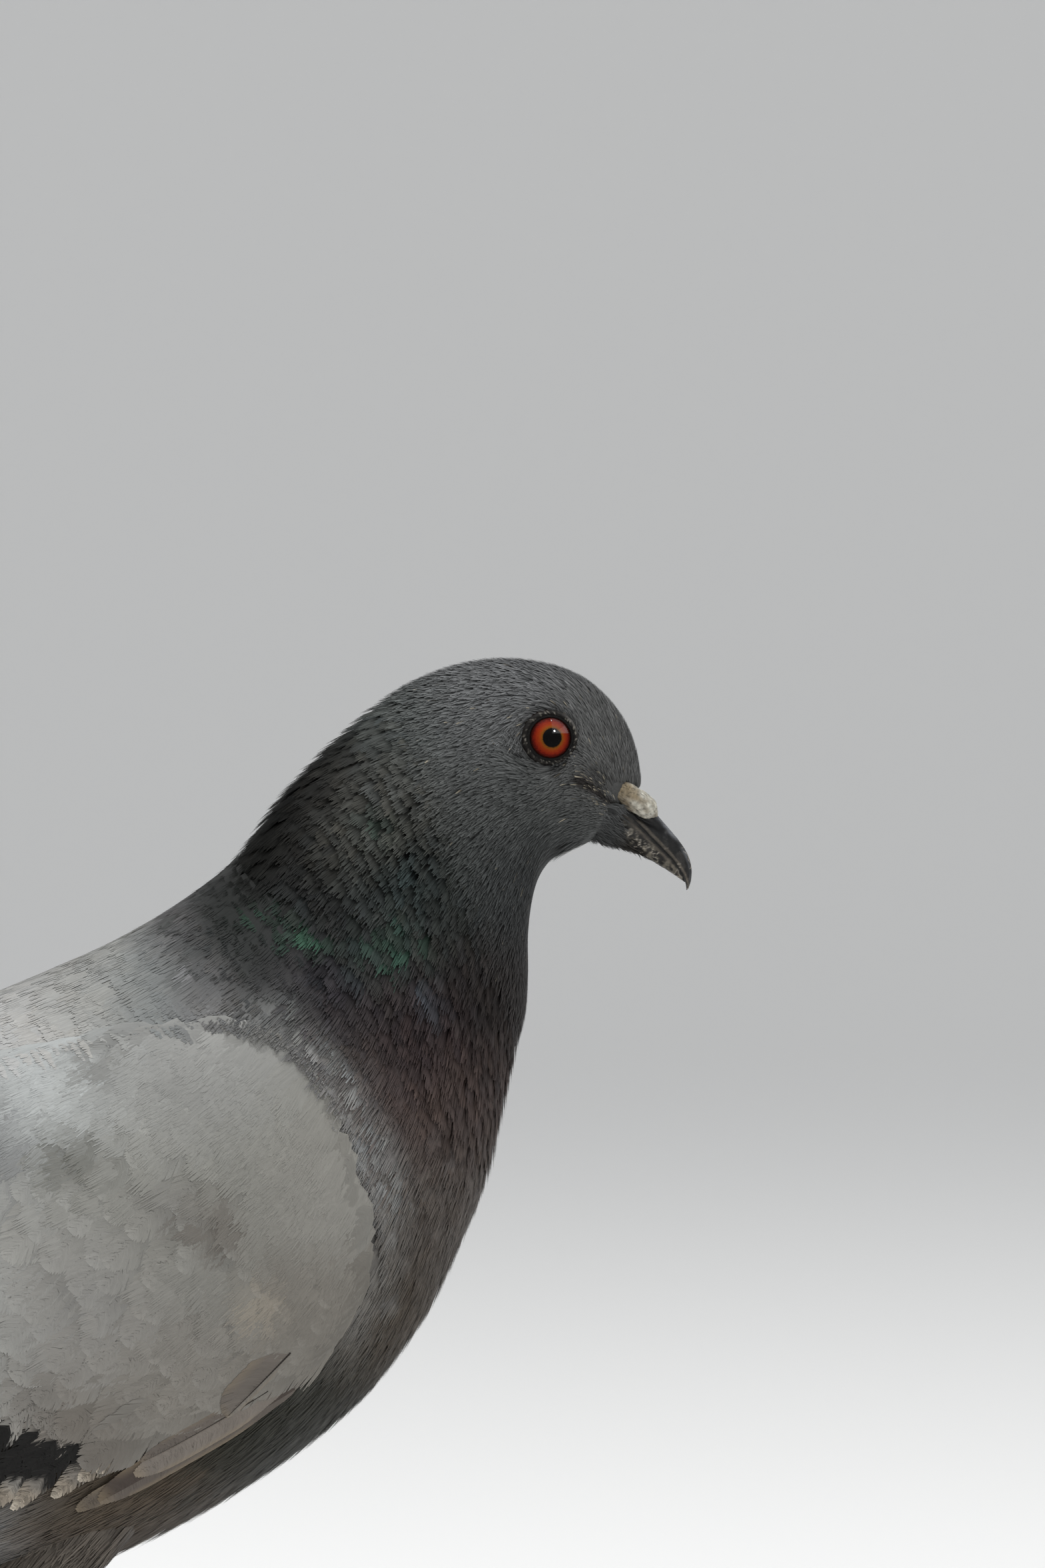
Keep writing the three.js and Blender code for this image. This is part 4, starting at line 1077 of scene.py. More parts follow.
def make_bill():
    horn = grained_material("Bill horn")
    for name, rows, flat in (("upper", UPPER_BILL, "bottom"), ("lower", LOWER_BILL, "top")):
        rng = default_rng(len(name) + ord(name[0]))
        a, b, y = bill_half(rows, flat, 150, 96)
        points = bill_point(a, b, y)
        grit = waves(points, 0.9 * MM, rng)
        flakes = waves(points, 2.6 * MM, rng)
        scale = 1 + 0.010 * grit + 0.012 * flakes
        # The nostril's slit runs forwards and up under the cere.
        along = np.clip(((a - 2.0) * 6.3 + (b - 1.9) * 2.2) / (6.3**2 + 2.2**2), 0, 1)
        off = np.hypot(a - 2.0 - 6.3 * along, b - 1.9 - 2.2 * along)
        slit = bell(off / (0.3 + 0.25 * along)) * (np.abs(y) > 1.0) * (name == "upper")
        y = y * (1 - 0.22 * slit)
        middle = 0.5 * (b.max(1, keepdims=True) + b.min(1, keepdims=True))
        points = bill_point(a, middle + (b - middle) * scale, y * scale)
        low = name == "lower"
        seam = b - np.interp(a, [row[0] for row in UPPER_BILL], [row[2] for row in UPPER_BILL])
        shade = linear("#171513" if low else "#131313") * (1 + 0.35 * grit[..., None])
        shade = shade + linear("#3a3734") * 0.4 * smooth(0.5, 1.2, flakes)[..., None]
        crust = smooth(-0.1, 0.7, waves(points, 1.1 * MM, rng)) * smooth(-0.5, 0.5, a) * low
        scurf = bell((seam - np.interp(a, [0, 4.5, 8, 11, 16], [-2.6, -2.8, -2.5, -1.6, -0.6])) / 1.2)
        crust = crust * scurf * smooth(19, 12, a)
        shade = toward(shade, "#736d61", 0.8 * crust)
        curl = np.abs(waves(points, 1.6 * MM, rng)) + 0.3 * smooth(0.2, -0.4, waves(points, 3.4 * MM, rng))
        worn = smooth(-0.5, 1, a) * scurf * smooth(20, 14, a) if low else smooth(9, 14, a)
        shade = toward(shade, "#a39c90", smooth(0.26, 0.08, curl) * worn * 0.9)
        # The mouth's line: painted shadow along the seam between the halves, with a worn rim over it.
        rim = bell((seam - (-0.75 if low else 0.42)) / 0.2) * smooth(-0.2, 2, a)
        shade = toward(shade, "#6a6257", 0.6 * rim)
        # Painted shadow along the seam.
        crease_shade = smooth(-0.5, -0.2, seam) if low else smooth(0.25, 0.0, seam)
        shade = shade * (1 - 0.85 * crease_shade[..., None])
        # A painted highlight along the upper half's culmen.
        ridge = (name == "upper") * smooth(0.9, 0.25, b.max(1, keepdims=True) - b)
        ridge = ridge * smooth(4, 7, a) * smooth(18.5, 16, a)
        shade = toward(shade, "#7d7f84", 0.6 * ridge * smooth(-1.2, 0.8, flakes))
        # Painted shade in the nostril's slit.
        shade = shade * (1 - 0.92 * slit[..., None])
        made = tube_piece(f"bill_{name}_horn", points, horn, shade)
        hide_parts(f"bill_{name}")

    waxy = grained_material("Cere")
    for name, side in SIDES.items():
        rng = default_rng(17)
        polar = np.linspace(0.0, math.pi, 60)[1:-1, None]
        angle = circle(96)[None]
        lobe = (np.cos(polar), np.sin(polar) * np.cos(angle), np.sin(polar) * np.sin(angle))
        lobe = np.stack(np.broadcast_arrays(*lobe), -1)
        rough = 1 + 0.05 * waves(lobe, 0.9, rng) + 0.035 * waves(lobe, 0.35, rng) + 0.012 * waves(lobe, 0.12, rng)
        pits = smooth(0.5, 1.1, waves(lobe, 0.2, rng))
        # Squarer than an egg: full at both ends, with a flat underside.
        full = np.sign(lobe) * np.abs(lobe) ** [0.85, 1.0, 0.85]
        lobe = full * (rough - 0.04 * pits)[..., None] * CERE_HALF
        x, y = turned(lobe[..., 0], lobe[..., 1], -side * CERE_SPREAD)
        x, z = turned(x, lobe[..., 2], -CERE_LEAN)
        lobe = np.stack([x, y, z], -1)
        points = bill_point(*CERE_MIDDLE, side * 3.1) + lobe * MM
        tone = 0.5 + 0.5 * waves(points, 1.6 * MM, rng)
        shade = toward(linear("#9c9586"), "#c9c6ba", np.clip(tone, 0, 1))
        brown = smooth(-0.5, 0.9, -lobe[..., 0] / 2.6 + 0.5 * waves(points, 2.2 * MM, rng)) * 0.85
        shade = toward(shade, "#7c6c50", brown)
        # Painted shade in the pits.
        shade = shade * (1 - 0.55 * pits[..., None])
        # Painted shade: darker towards each lobe's underside and rear.
        low = smooth(0.8, -1.6, (points[..., 2] - points[..., 2].mean()) / MM + lobe[..., 0] * 0.5)
        made = tube_piece(f"cere_{name}_skin", points, waxy, toward(shade, "#6b645a", low * 0.35))
        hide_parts(f"cere_{name}")


# ---- head and neck ----

EYE_CLEAR = 5.0 * MM


def round_eyes(t, a):
    """Distance from the nearer eye's middle, the heading that flows round it and the way to it."""
    centre, _, _, out = eye_frame(-1)
    points = TRUNK.at(t, a)
    offset = np.where((points[..., 1] < 0)[..., None], points, points * [1, -1, 1]) - centre
    offset = offset - (offset @ out)[..., None] * out
    distance = np.linalg.norm(offset, axis=-1)
    right_a, step = fold_angle(a), 0.01
    along = unit(TRUNK.at(t + step, right_a) - TRUNK.at(t - step, right_a))
    across = unit(TRUNK.at(t, right_a + step) - TRUNK.at(t, right_a - step))
    p, q = np.einsum("...i,...i", offset, along), np.einsum("...i,...i", offset, across)
    around = np.arctan2(q, p)
    strength = np.clip((EYE_CLEAR * 1.1 / np.maximum(distance, EYE_CLEAR)) ** 2, 0, 1)
    heading = np.arctan2(-strength * np.sin(2 * around), 1.02 - strength * np.cos(2 * around))
    return distance, np.where(a > math.pi, -heading, heading), around


GAPE = [(115.2, 185.0), (124.6, 178.0)]  # the mouth's line behind the bill, from the side


def head_colour(points, t, a):
    """The head's slate, with fine pale and dark streaks, dark crusty lores and painted shade along the mouth's line."""
    rng = default_rng(71)
    base = markings(points)
    count = base.shape[0]
    grain = 1 + rng.normal(0, 0.20, count) + 0.12 * waves(points, 2.4 * MM, rng)
    colour = base * np.clip(grain, 0.4, 1.8)[:, None]
    near = smooth(7.5 * MM, EYE_CLEAR, round_eyes(t, a)[0])
    x, z = side_view(points)
    off = from_line(x, z, *GAPE)[0]
    side_on = np.abs(points[..., 1]) > 2.5 * MM
    # Painted shade along the mouth's line.
    line = bell(off / 0.7) * side_on
    lores = np.exp(-(((x - 118.2) / 3.4) ** 2) - ((z - 184.6) / 2.2) ** 2) * side_on
    colour = toward(colour, "#1d1816", np.clip(0.85 * line + 0.55 * lores + 0.25 * near, 0, 0.9))
    flecks = rng.random(count) < 0.004 + 0.06 * near * (waves(points, 1.2 * MM, rng) > 0.3)
    flecks |= rng.random(count) < 0.16 * lores + 0.09 * bell((off - 1.3) / 0.5) * side_on
    colour[flecks] = linear("#a39b8a") * rng.uniform(0.3, 0.9, (flecks.sum(), 1))
    return colour


FACE_FORM = {"strips": 1, "rows": 2, "round": 0.0, "taper": 0.2, "crown": 0.0, "streak": 0.05}


def make_head():
    rng = default_rng(5)

    def clear(t, a):
        """Off the eyes and the cere, and thinning out on to the neck."""
        offset = (TRUNK.at(t, a) - bill_point(*CERE_MIDDLE, 0)) / MM
        x, z = turned(offset[..., 0], offset[..., 2], CERE_LEAN)
        on_cere = np.hypot(x / (CERE_HALF[0] + 0.2), z / (CERE_HALF[2] + 0.25)) < 1
        thin = default_rng(3).random(t.shape) > smooth(5.9, 6.6, t)
        return (round_eyes(t, a)[0] > EYE_CLEAR - 0.35 * MM) & ~on_cere & thin

    spacing = by_station([0, 1, 3, 6], [0.29, 0.29, 0.33, 0.43])
    t, a = scatter(clear, (0.02, 6.6), ROUND, TRUNK, spacing)

    def length(t, a):
        plain = np.interp(t, [0, 0.6, 1.5, 3, 5.5], [1.0, 1.6, 2.1, 2.7, 3.9]) * MM
        distance, _, around = round_eyes(t, a)
        ahead_of_eye = smooth(0.3, -0.6, np.cos(around))
        room = np.maximum(distance - EYE_CLEAR + 0.5 * MM, 0.7 * MM)
        return np.where(ahead_of_eye > 0.4, np.minimum(plain, room * 1.1), plain) + 0.9 * tuft(t, a) * MM

    def tuft(t, a):
        """Loose feathers hang a little from the chin."""
        x, z = side_view(TRUNK.at(t, a))
        return 2.2 * default_rng(8).random(t.shape) ** 2 * bell((x - 115) / 3) * smooth(174.5, 172.5, z)

    form = {
        **FACE_FORM, "length": length, "width": by_station([0, 1, 3, 6], [0.25, 0.30, 0.36, 0.52]),
        "low": lambda t, a: -np.minimum(coat_depth(t) * 0.75, 1.2 * MM),
        "high": lambda t, a: (np.interp(t, [0, 2, 6], [0.0, 0.05, 0.2]) + tuft(t, a)) * MM,
        "uneven": 0.05 * MM, "stray": 0.13, "fray": 0.04, "tip": 0.35,
    }
    made = feathers(
        "face_feathers", rng, TRUNK, TRUNK.at, t, a, form, feather_material("Face feathers"), head_colour,
        TRUNK_CHART, turn=lambda t, a: round_eyes(t, a)[1],
    )
    make_chin()


class Chin:
    """The lower bill's underside as a surface: t in millimetres along it, a round from below."""

    def at(self, t, a, h=0.0):
        rows = np.array(LOWER_BILL)
        top, bottom, half = (np.interp(t, rows[:, 0], rows[:, i]) for i in (1, 2, 3))
        rise = np.maximum(np.cos(a), 0)
        out = h / MM + np.interp(t, [-2.5, 0, 2, 5, 9], [1.0, 1.1, 0.9, 0.45, 0.1])
        wide = half * (1 - 0.12 * rise) + out + np.interp(t, [-2.5, 0, 2, 5], [0.9, 0.4, 0.2, 0.0])
        b = top + rise**0.9 * (bottom - top) - out * np.cos(a) - 0.9 * np.maximum(-0.4 - t, 0)
        return bill_point(t, b, np.sin(a) * wide)


def make_chin():
    """Short loose feathers that run forwards on to the lower bill."""
    rng = default_rng(6)
    chin = Chin()

    def chosen(t, a):
        reach = np.interp(t, [-2.5, -1, 0, 1.8, 4, 7, 9.5], [1.9, 1.4, 1.2, 1.0, 0.65, 0.42, 0.2])
        return np.abs(a) < reach + default_rng(2).normal(0, 0.14, t.shape)

    t, a = scatter(chosen, (-2.5, 9.0), (-1.9, 1.9), chin, lambda t, a: 0.31 * MM)
    form = {
        **FACE_FORM, "length": by_station([-2, 0, 8], [3.8, 3.0, 1.6]), "width": 0.3 * MM,
        "low": by_station([0, 5], [-0.8, -0.3]),
        "high": lambda t, a: (0.1 + 0.5 * smooth(0.8, 0.2, np.abs(a)) * smooth(6, 1, t)) * MM,
        "uneven": 0.10 * MM, "stray": 0.20, "fray": 0.05, "tip": 0.3,
    }

    def colour(points, t, a):
        tone = np.clip(default_rng(4).normal(1, 0.3, (len(t), 1)), 0.4, 2.2)
        share = smooth(0, 5, t)[:, None]
        return (linear("#424343") * (1 - share) + linear("#2b2824") * share) * tone

    made = feathers(
        "chin_feathers", rng, chin, chin.at, t, a, form,
        feather_material("Face feathers"), colour, ((-4.0, 60.0), (-12.0, 12.0)),
    )


def neck_gloss(t, a):
    """Where the neck's feathers are iridescent."""
    band = smooth(5.6, 7.4, t) * smooth(11.2, 9.8, t)
    return 0.15 * band * smooth(0.4, 1.0, fold_angle(a))


def plumage_colour(seed, vary=0.10, warm=0.03, spread=1.0):
    """Markings with each feather a little lighter, darker or browner than the next."""

    def colour(points, t, a):
        rng = default_rng(seed)
        base = markings(points, rng, spread)
        tone = np.clip(1 + rng.normal(0, vary, len(base)), 0.5, 1.6)[:, None]
        tint = 1 + rng.normal(0, warm, (len(base), 1)) * np.array([1.0, 0.1, -1.0])
        return base * tone * tint

    return colour


# Where feathers of the neck catch the light: middle, reach each way, colour and how strongly.
NECK_LIGHTS = [
    [(82.5, 156.0), (5.0, 4.5), "#46705d", 0.8],
    [(68.0, 158.0), (5.0, 2.2), "#436854", 0.7],
    [(61.0, 162.0), (4.5, 1.8), "#3f6250", 0.6],
    [(80.0, 177.5), (3.5, 2.5), "#4b5f56", 0.7],
    [(86.0, 168.0), (4.0, 4.0), "#48595a", 0.6],
    [(76.5, 150.0), (6.0, 3.0), "#454e52", 0.6],
    [(89.5, 147.5), (2.4, 4.0), "#57626a", 0.7],
]


def neck_colour(points, t, a):
    """The neck's markings, where single feathers catch the light in green or slate."""
    colour = plumage_colour(11, 0.13, 0.02)(points, t, a)
    rng = default_rng(12)
    x, z = side_view(points)
    for (cx, cz), (wide, high), light, strong in NECK_LIGHTS:
        near = np.exp(-(((x - cx) / wide) ** 2) - ((z - cz) / high) ** 2)
        lit = strong * near * rng.random(len(t)) ** 1.3
        shade = linear(light) * rng.uniform(0.5, 1.1, (len(t), 1))
        colour = colour + (shade - colour) * np.clip(lit, 0, 0.8)[:, None]
    return colour


def make_neck():
    between_rows = by_station([6, 8, 10.5], [1.4, 1.9, 2.0])
    along_rows = by_station([6, 8, 10.5], [2.0, 2.8, 3.0])
    front = lambda a: smooth(1.5, 2.5, fold_angle(a))
    nape = lambda a: smooth(0.9, 0.4, fold_angle(a))

    def length(t, a):
        plain = np.interp(t, [6, 8, 10.5], [3.9, 5.4, 6.8])
        return short_of_wing(plain * (1 + 0.25 * nape(a)) * MM, t, a)

    def height(t, a):
        bumps = waves(TRUNK.at(t, a), 8 * MM, default_rng(3))
        return (0.06 + 0.14 * bumps) * smooth(0.1, 0.8, fold_angle(a)) * MM

    def gap_shade(t, a):
        """How deep the painted shade in the gaps between feathers is: deep beside the neck, faint elsewhere."""
        points = TRUNK.at(t, a)
        x, z = side_view(points)
        clumps = 1 + 0.3 * waves(points, 4 * MM, default_rng(6))
        return 0.2 + 0.68 * np.exp(-(((x - 86) / 12) ** 2) - ((z - 173) / 11) ** 2) * np.clip(clumps, 0.5, 1.2)

    form = {
        "strips": 16, "rows": 3, "length": length,
        "width": lambda t, a: np.interp(t, [6, 8, 10.5], [3.1, 4.3, 5.0]) * (1 - 0.25 * front(a) - 0.3 * nape(a)) * MM,
        "low": lambda t, a: -np.minimum(coat_depth(t) * 0.75, np.interp(t, [5, 8], [1.2, 1.9]) * MM), "high": height,
        "uneven": 0.03 * MM, "stray": 0.07, "fray": 0.08, "round": 0.22, "taper": 0.7, "vary": 0.08,
        "crown": lambda t, a: 0.1 * smooth(0.2, 0.8, fold_angle(a)) * MM,
        "streak": 0.07, "tip": 0.35, "gap": 0.62, "dark": gap_shade, "soft": 0.7, "thin": 0.5,
    }
    material = feather_material("Neck feathers", gloss=True)
    for number, span in enumerate(((5.5, 8.3), (8.3, 10.9))):
        rng = default_rng(8 + number)
        t, a = in_rows(rng, span, TRUNK, between_rows, along_rows, 0.16)
        chosen = uncovered(t, a) & (rng.random(len(t)) < smooth(5.5, 6.4, t))
        made = feathers(
            f"neck_feathers_{number + 1}", rng, TRUNK, dressed, t[chosen], a[chosen], form, material,
            neck_colour, TRUNK_CHART, gloss=neck_gloss,
        )


# ---- body ----


def wing_depth(t, a):
    """How far under the folded wings a place of the trunk lies, in metres, negative outside."""
    points = TRUNK.at(t, a)
    depth = inside_wing(points[..., 0], points[..., 2])
    return np.where(np.abs(points[..., 1]) > 15 * MM, depth, -0.05)


def below_wing(t, a):
    """Where the trunk faces down under the folded wings."""
    return (fold_angle(a) > 1.95) & (t > 11.6)


def uncovered(t, a, deep=0.5, under=11.0):
    """Where the folded wings leave the trunk bare, or lie over it by less than deep millimetres.

    Below the wings' lower edge the feathers go further in, under the wings, to depth under.
    """
    return wing_depth(t, a) < np.where(below_wing(t, a), under, deep) * MM


def short_of_wing(length, t, a, reach=1.5):
    """A feather's length, less where it would reach more than reach millimetres on to a wing."""
    depth = wing_depth(t + 0.25, a)
    room = (reach * MM - depth) * 1.3 + 1.5 * MM
    return np.where(below_wing(t, a), length, np.clip(np.minimum(length, room), 2.5 * MM, None))


COAT_FORM = {"rows": 3, "round": 0.25}


def make_breast():
    belly = lambda t: smooth(12.0, 15.0, t)
    chosen = lambda t, a: (fold_angle(a) > 1.05) & uncovered(t, a)
    for number, (low_t, high_t) in enumerate(((9.6, 12.6), (12.2, 15.6), (15.2, 19.6))):
        rng = default_rng(20 + number)
        t, a = scatter(chosen, (low_t, high_t), ROUND, TRUNK, lambda t, a: (2.1 + 1.1 * belly(t)) * MM)
        form = {
            **COAT_FORM, "strips": 14, "length": lambda t, a: short_of_wing((9.0 + 5.5 * belly(t)) * MM, t, a),
            "width": lambda t, a: (4.4 + 1.4 * belly(t)) * MM,
            "low": lambda t, a: -np.minimum(coat_depth(t) * 0.6, 1.3 * MM), "high": 0.12 * MM,
            "uneven": 0.03 * MM, "stray": 0.06, "fray": 0.09, "taper": 0.5, "thin": 0.65,
            "crown": 0.06 * MM, "streak": 0.09, "tip": 0.15, "soft": 0.6,
        }
        made = feathers(
            f"breast_feathers_{number + 1}", rng, TRUNK, dressed, t, a, form, feather_material("Body feathers"),
            plumage_colour(40 + number, 0.05, 0.015), TRUNK_CHART,
        )


def make_back():
    top = lambda t: np.interp(t, [9.8, 18.5, 19.2], [1.15, 1.15, 3.15])
    chosen = lambda t, a: (fold_angle(a) < top(t)) & uncovered(t, a, np.interp(t, [11, 14], [0.2, 3.0]))

    def length(t, a):
        plain = np.interp(t, [9.8, 12, 16, 20, 22], [9, 13, 17, 19, 15]) * MM
        return short_of_wing(plain, t, a, np.interp(t, [11, 13, 15], [-0.5, 0.5, 6.0]))

    for number, (low_t, high_t) in enumerate(((9.8, 14.4), (14.0, 19.4), (19.0, 22.2))):
        rng = default_rng(30 + number)
        t, a = scatter(chosen, (low_t, high_t), ROUND, TRUNK, by_station([9.8, 12, 16], [2.2, 3.0, 3.7]))
        form = {
            **COAT_FORM, "strips": 22, "length": length, "width": by_station([9.8, 12, 16], [6.2, 8.4, 10.5]),
            "low": -0.4 * MM, "high": 0.03 * MM,
            "uneven": 0.01 * MM, "stray": 0.04, "fray": 0.06, "taper": 0.8, "thin": 0.35,
            "crown": 0.03 * MM, "streak": 0.03, "tip": 0.03, "soft": 0.9,
        }
        made = feathers(
            f"back_feathers_{number + 1}", rng, TRUNK, dressed, t, a, form, feather_material("Body feathers"),
            plumage_colour(50 + number, 0.02, 0.006, 0.5), TRUNK_CHART,
        )


# ---- wings ----

WING_FIELDS = {
    "top": [(24, 133), 12, "#aaadac"],
    "shoulder": [(46, 133), 10, "#8c8c89"],
    "covert": [(44, 112), 16, "#82817b"],
    "covert, low": [(30, 92), 14, "#878581"],
    "covert, rear": [(-10, 100), 30, "#979793"],
    "front edge": [(72, 114), 8, "#898781"],
    "front edge, low": [(68, 96), 8, "#78746d"],
    "low": [(44, 80), 12, "#7b7770"],
    "lowest": [(26, 70), 10, "#67615a"],
    "brown smudge": [(52, 107.5), 4.5, "#4c413a"],
    "brown smudge, rear": [(44, 110), 4, "#767471"],
    "stain": [(62, 94), 3, "#958d80"],
    "grey smudge": [(28, 119), 5, "#434136"],
    "grey smudge, high": [(33, 136), 4, "#5d5b56"],
    "blue patch": [(14, 121), 6, "#626365"],
    "tertials": [(-56, 92), 24, "#9ea0a0"],
}


# Each black bar: places along its middle from the side, and half its width there.
WING_BARS = [
    [(32, 65.2, 0.3), (27.9, 65.2, 1.9), (21.2, 65.6, 3.7), (11.9, 65.1, 5.5), (-24, 97, 6.4), (-33, 107, 4)],
    [(-26.0, 44.0, 4.0), (-36.0, 54.0, 6.0), (-68.0, 92.0, 6.0)],
]


BAR_BLACK = "#161514"
CLOUDS = 400  # the seed of the wing's soft clouds, the same for every row


def bar_weight(points, wander):
    """How far points lie in the wing's black bars, 0 to 1."""
    x, z = side_view(points)
    weight = np.zeros(x.shape)
    for bar in WING_BARS:
        for (x0, z0, half0), (x1, z1, half1) in zip(bar, bar[1:]):
            off, share = from_line(x, z, (x0, z0), (x1, z1))
            half = half0 + (half1 - half0) * np.clip(share, 0, 1)
            weight = np.maximum(weight, smooth(half + 0.4, half - 0.4, off + wander))
    return weight


def wing_shafts(curves, low, high, side, steps=14):
    """Shafts on the folded wing's surface from curves of three points of the side view.

    low and high are the heights, in millimetres, of each feather's root and tip.
    """
    s = np.linspace(0, 1, steps)[None, :, None]
    p, q, r = (curves[:, i][:, None, :] for i in range(3))
    flat = (1 - s) ** 2 * p + 2 * s * (1 - s) * q + s**2 * r
    x, z = (flat[..., 0] + SHIFT) * MM, flat[..., 1] * MM
    t, a = FOLD.chart(x, z)
    height = (low[:, None] + (high - low)[:, None] * s[..., 0]) * MM
    shaft = FOLD.at(t, a, height)
    normal = unit(FOLD.at(t, a, height + MM) - shaft)
    home = bake_home(FOLD_CHART, t[:, 2], a[:, 2] if side < 0 else TURN - a[:, 2])
    if side > 0:
        shaft, normal = shaft * [1, -1, 1], normal * [1, -1, 1]
    return shaft, normal, home


# How far the root, the bend and the tip of a feather stray, beside one another.
WANDER = [[[0.5], [0.8], [1.0]]]
SAG = np.array([0.3, 1.0]) * 1.5


def fan_curves(roots, tips, count, rng, jitter=0.5):
    """Curves from tables of the roots and the tips of a row, from its lowest feather up."""
    place = np.linspace(0, 1, count)
    root = spline(roots, place * (len(roots) - 1))
    tip = spline(tips, place * (len(tips) - 1))
    middle = (root + tip) / 2 - SAG
    curves = np.stack([root, middle, tip], 1)
    return curves + rng.normal(0, jitter, curves.shape) * WANDER


def row_curves(first, last, count, rng, jitter):
    """Curves from the lowest feather of a row to the highest."""
    share = np.linspace(0, 1, count)[:, None, None]
    curves = np.array(first, float)[None] * (1 - share) + np.array(last, float)[None] * share
    return curves + rng.normal(0, jitter, curves.shape) * WANDER


PRIMARIES, SECONDARIES, GREATER_COVERTS = 9, 12, 17
COVERT_ROWS = 9
LEADING_EDGE = [[67.5, 82.5], [75.0, 91.0], [78.6, 102.0], [76.0, 117.0], [70.0, 131.0], [59.0, 140.0], [44.0, 142.5]]
COVERT_END = [[46.0, 74.5], [37.0, 86.0], [30.0, 96.0], [24.5, 105.0], [19.0, 113.0], [14.0, 120.0], [8.0, 127.0]]
COVERT_SLANT = [26, 36, 45, 48, 46, 38, 30]  # degrees down from backwards, by place


def covert_curves(rng):
    """Roots, bends and tips of the small coverts, row by row, with their sizes."""
    curves, sizes = [], []
    for row in range(COVERT_ROWS):
        r = row / (COVERT_ROWS - 1)
        count = 22 - row
        u = (np.arange(count) + 0.5 * (row % 2) + 0.3) / count
        u = np.clip(u + rng.normal(0, 0.006, count), 0, 1) * (len(LEADING_EDGE) - 1)
        edge, end = spline(LEADING_EDGE, u), spline(COVERT_END, u)
        slant = np.radians(np.interp(u, np.arange(7), COVERT_SLANT) + rng.normal(0, 4, count))
        root = edge + (end - edge) * r + rng.normal(0, 0.7, (count, 2))
        long = (13.0 + 8.5 * r) * rng.uniform(0.9, 1.1, count)
        way = np.stack([-np.cos(slant), -np.sin(slant)], -1)
        curves.append(np.stack([root, root + way * long[:, None] * 0.5, root + way * long[:, None]], 1))
        sizes.append(np.stack([np.full(count, 3.9 + 2.2 * r), np.full(count, r)], -1))
    return np.concatenate(curves), np.concatenate(sizes)


def pale_edge(v, share, amount):
    """How near a place is to a vane's edge or tip, for its paler fringe."""
    return amount * np.maximum(smooth(0.72, 1.0, share), smooth(0.9, 1.0, v))


def covert_colour(rng, count, edge=0.06, vary=0.022, bars=True):
    """The wing's markings in soft clouds, where each feather differs a little from the next, with painted shade towards
    each feather's root.
    """
    tone = 1 + rng.normal(0, vary, (count, 1, 1, 1, 1, 1))
    tint = 1 + rng.normal(0, 0.004, (count, 1, 1, 1, 1, 1)) * np.array([1.0, 0.2, -1.0])
    wander = rng.normal(0, 0.8, (count, 1, 1, 1, 1))

    def colour(v, share, roots, sign):
        clouds = default_rng(CLOUDS)
        cloud = 0.035 * waves(roots, 16 * MM, clouds) + 0.02 * waves(roots, 5 * MM, clouds)
        base = field_colour(WING_FIELDS, *side_view(roots)) * tone * tint * (1 + cloud)[..., None]
        # Painted shade: each covert is darker towards its root, where the next row's tips lie over it, and a little
        # lighter at its tip.
        base = base * (1 - 0.19 * smooth(0.80, 0.5, v) + 0.02 * smooth(0.7, 1.0, v))[..., None]
        base = toward(base, "#c9c8c2", pale_edge(v, share, edge))
        return toward(base, BAR_BLACK, bar_weight(roots, wander)) if bars else base

    return colour


def bar_colour(rng, count):
    """Feathers that are black across a bar and cream beyond it."""
    wander = rng.normal(0, 0.5, (count, 1, 1, 1, 1))

    def colour(v, share, roots, sign):
        ragged = wander + 0.5 * np.cos(share * 9 + v * 40)
        cream = toward(linear("#857c70"), "#aca395", smooth(0.9, 1.0, v))
        grey = field_colour(WING_FIELDS, *side_view(roots))
        base = grey + (cream - grey) * smooth(0.80, 0.88, v)[..., None]
        return toward(base, BAR_BLACK, bar_weight(roots, ragged))

    return colour


def hand_colour(below, above, edge=0.4):
    """The hand's smooth grey-brown coverts, by the side of the shaft, with tan edges."""

    def colour(v, share, roots, sign):
        shade = np.where((sign > 0)[..., None], linear(below), linear(above))
        shade = shade * (1 + 0.05 * waves(roots, 6 * MM, default_rng(CLOUDS + 1)))[..., None]
        return toward(shade, "#8f8068", pale_edge(v, share, edge))

    return colour


def quill_colour(tip, base):
    """Colour of flight feathers: base towards the root and tip towards the end."""

    def colour(v, share, roots, sign):
        shade = toward(linear(base), tip, smooth(0.35, 0.95, v))
        return toward(shade, "#6f665a", pale_edge(v, share, 0.25) * (sign > 0))

    return colour


COVERT_FORM = {
    "barbs": 26, "parts": 2, "bare": 0.02, "lean": 1.0, "blunt": 0.45, "fray": 0.05, "overlap": 1.9,
    "thin": 0.3, "camber": 0.0, "uneven": 0.002 * MM, "streak": 0.02, "ridge": 4,
    "shaft": 0.03 * MM, "shaft_colour": linear("#7b776f"),
}
LONG_FORM = {**COVERT_FORM, "barbs": 54, "bare": 0.04, "lean": 1.1, "blunt": 0.62, "ridge": 8, "shaft": 0.05 * MM}
QUILL_FORM = {
    **COVERT_FORM, "barbs": 120, "bare": 0.04, "lean": 1.3, "blunt": 0.78, "fray": 0.03,
    "ridge": 14, "shaft": 0.5 * MM, "camber": 0.3 * MM, "uneven": 0.03 * MM, "streak": 0.05,
    "shaft_colour": linear("#2c2723"),
}


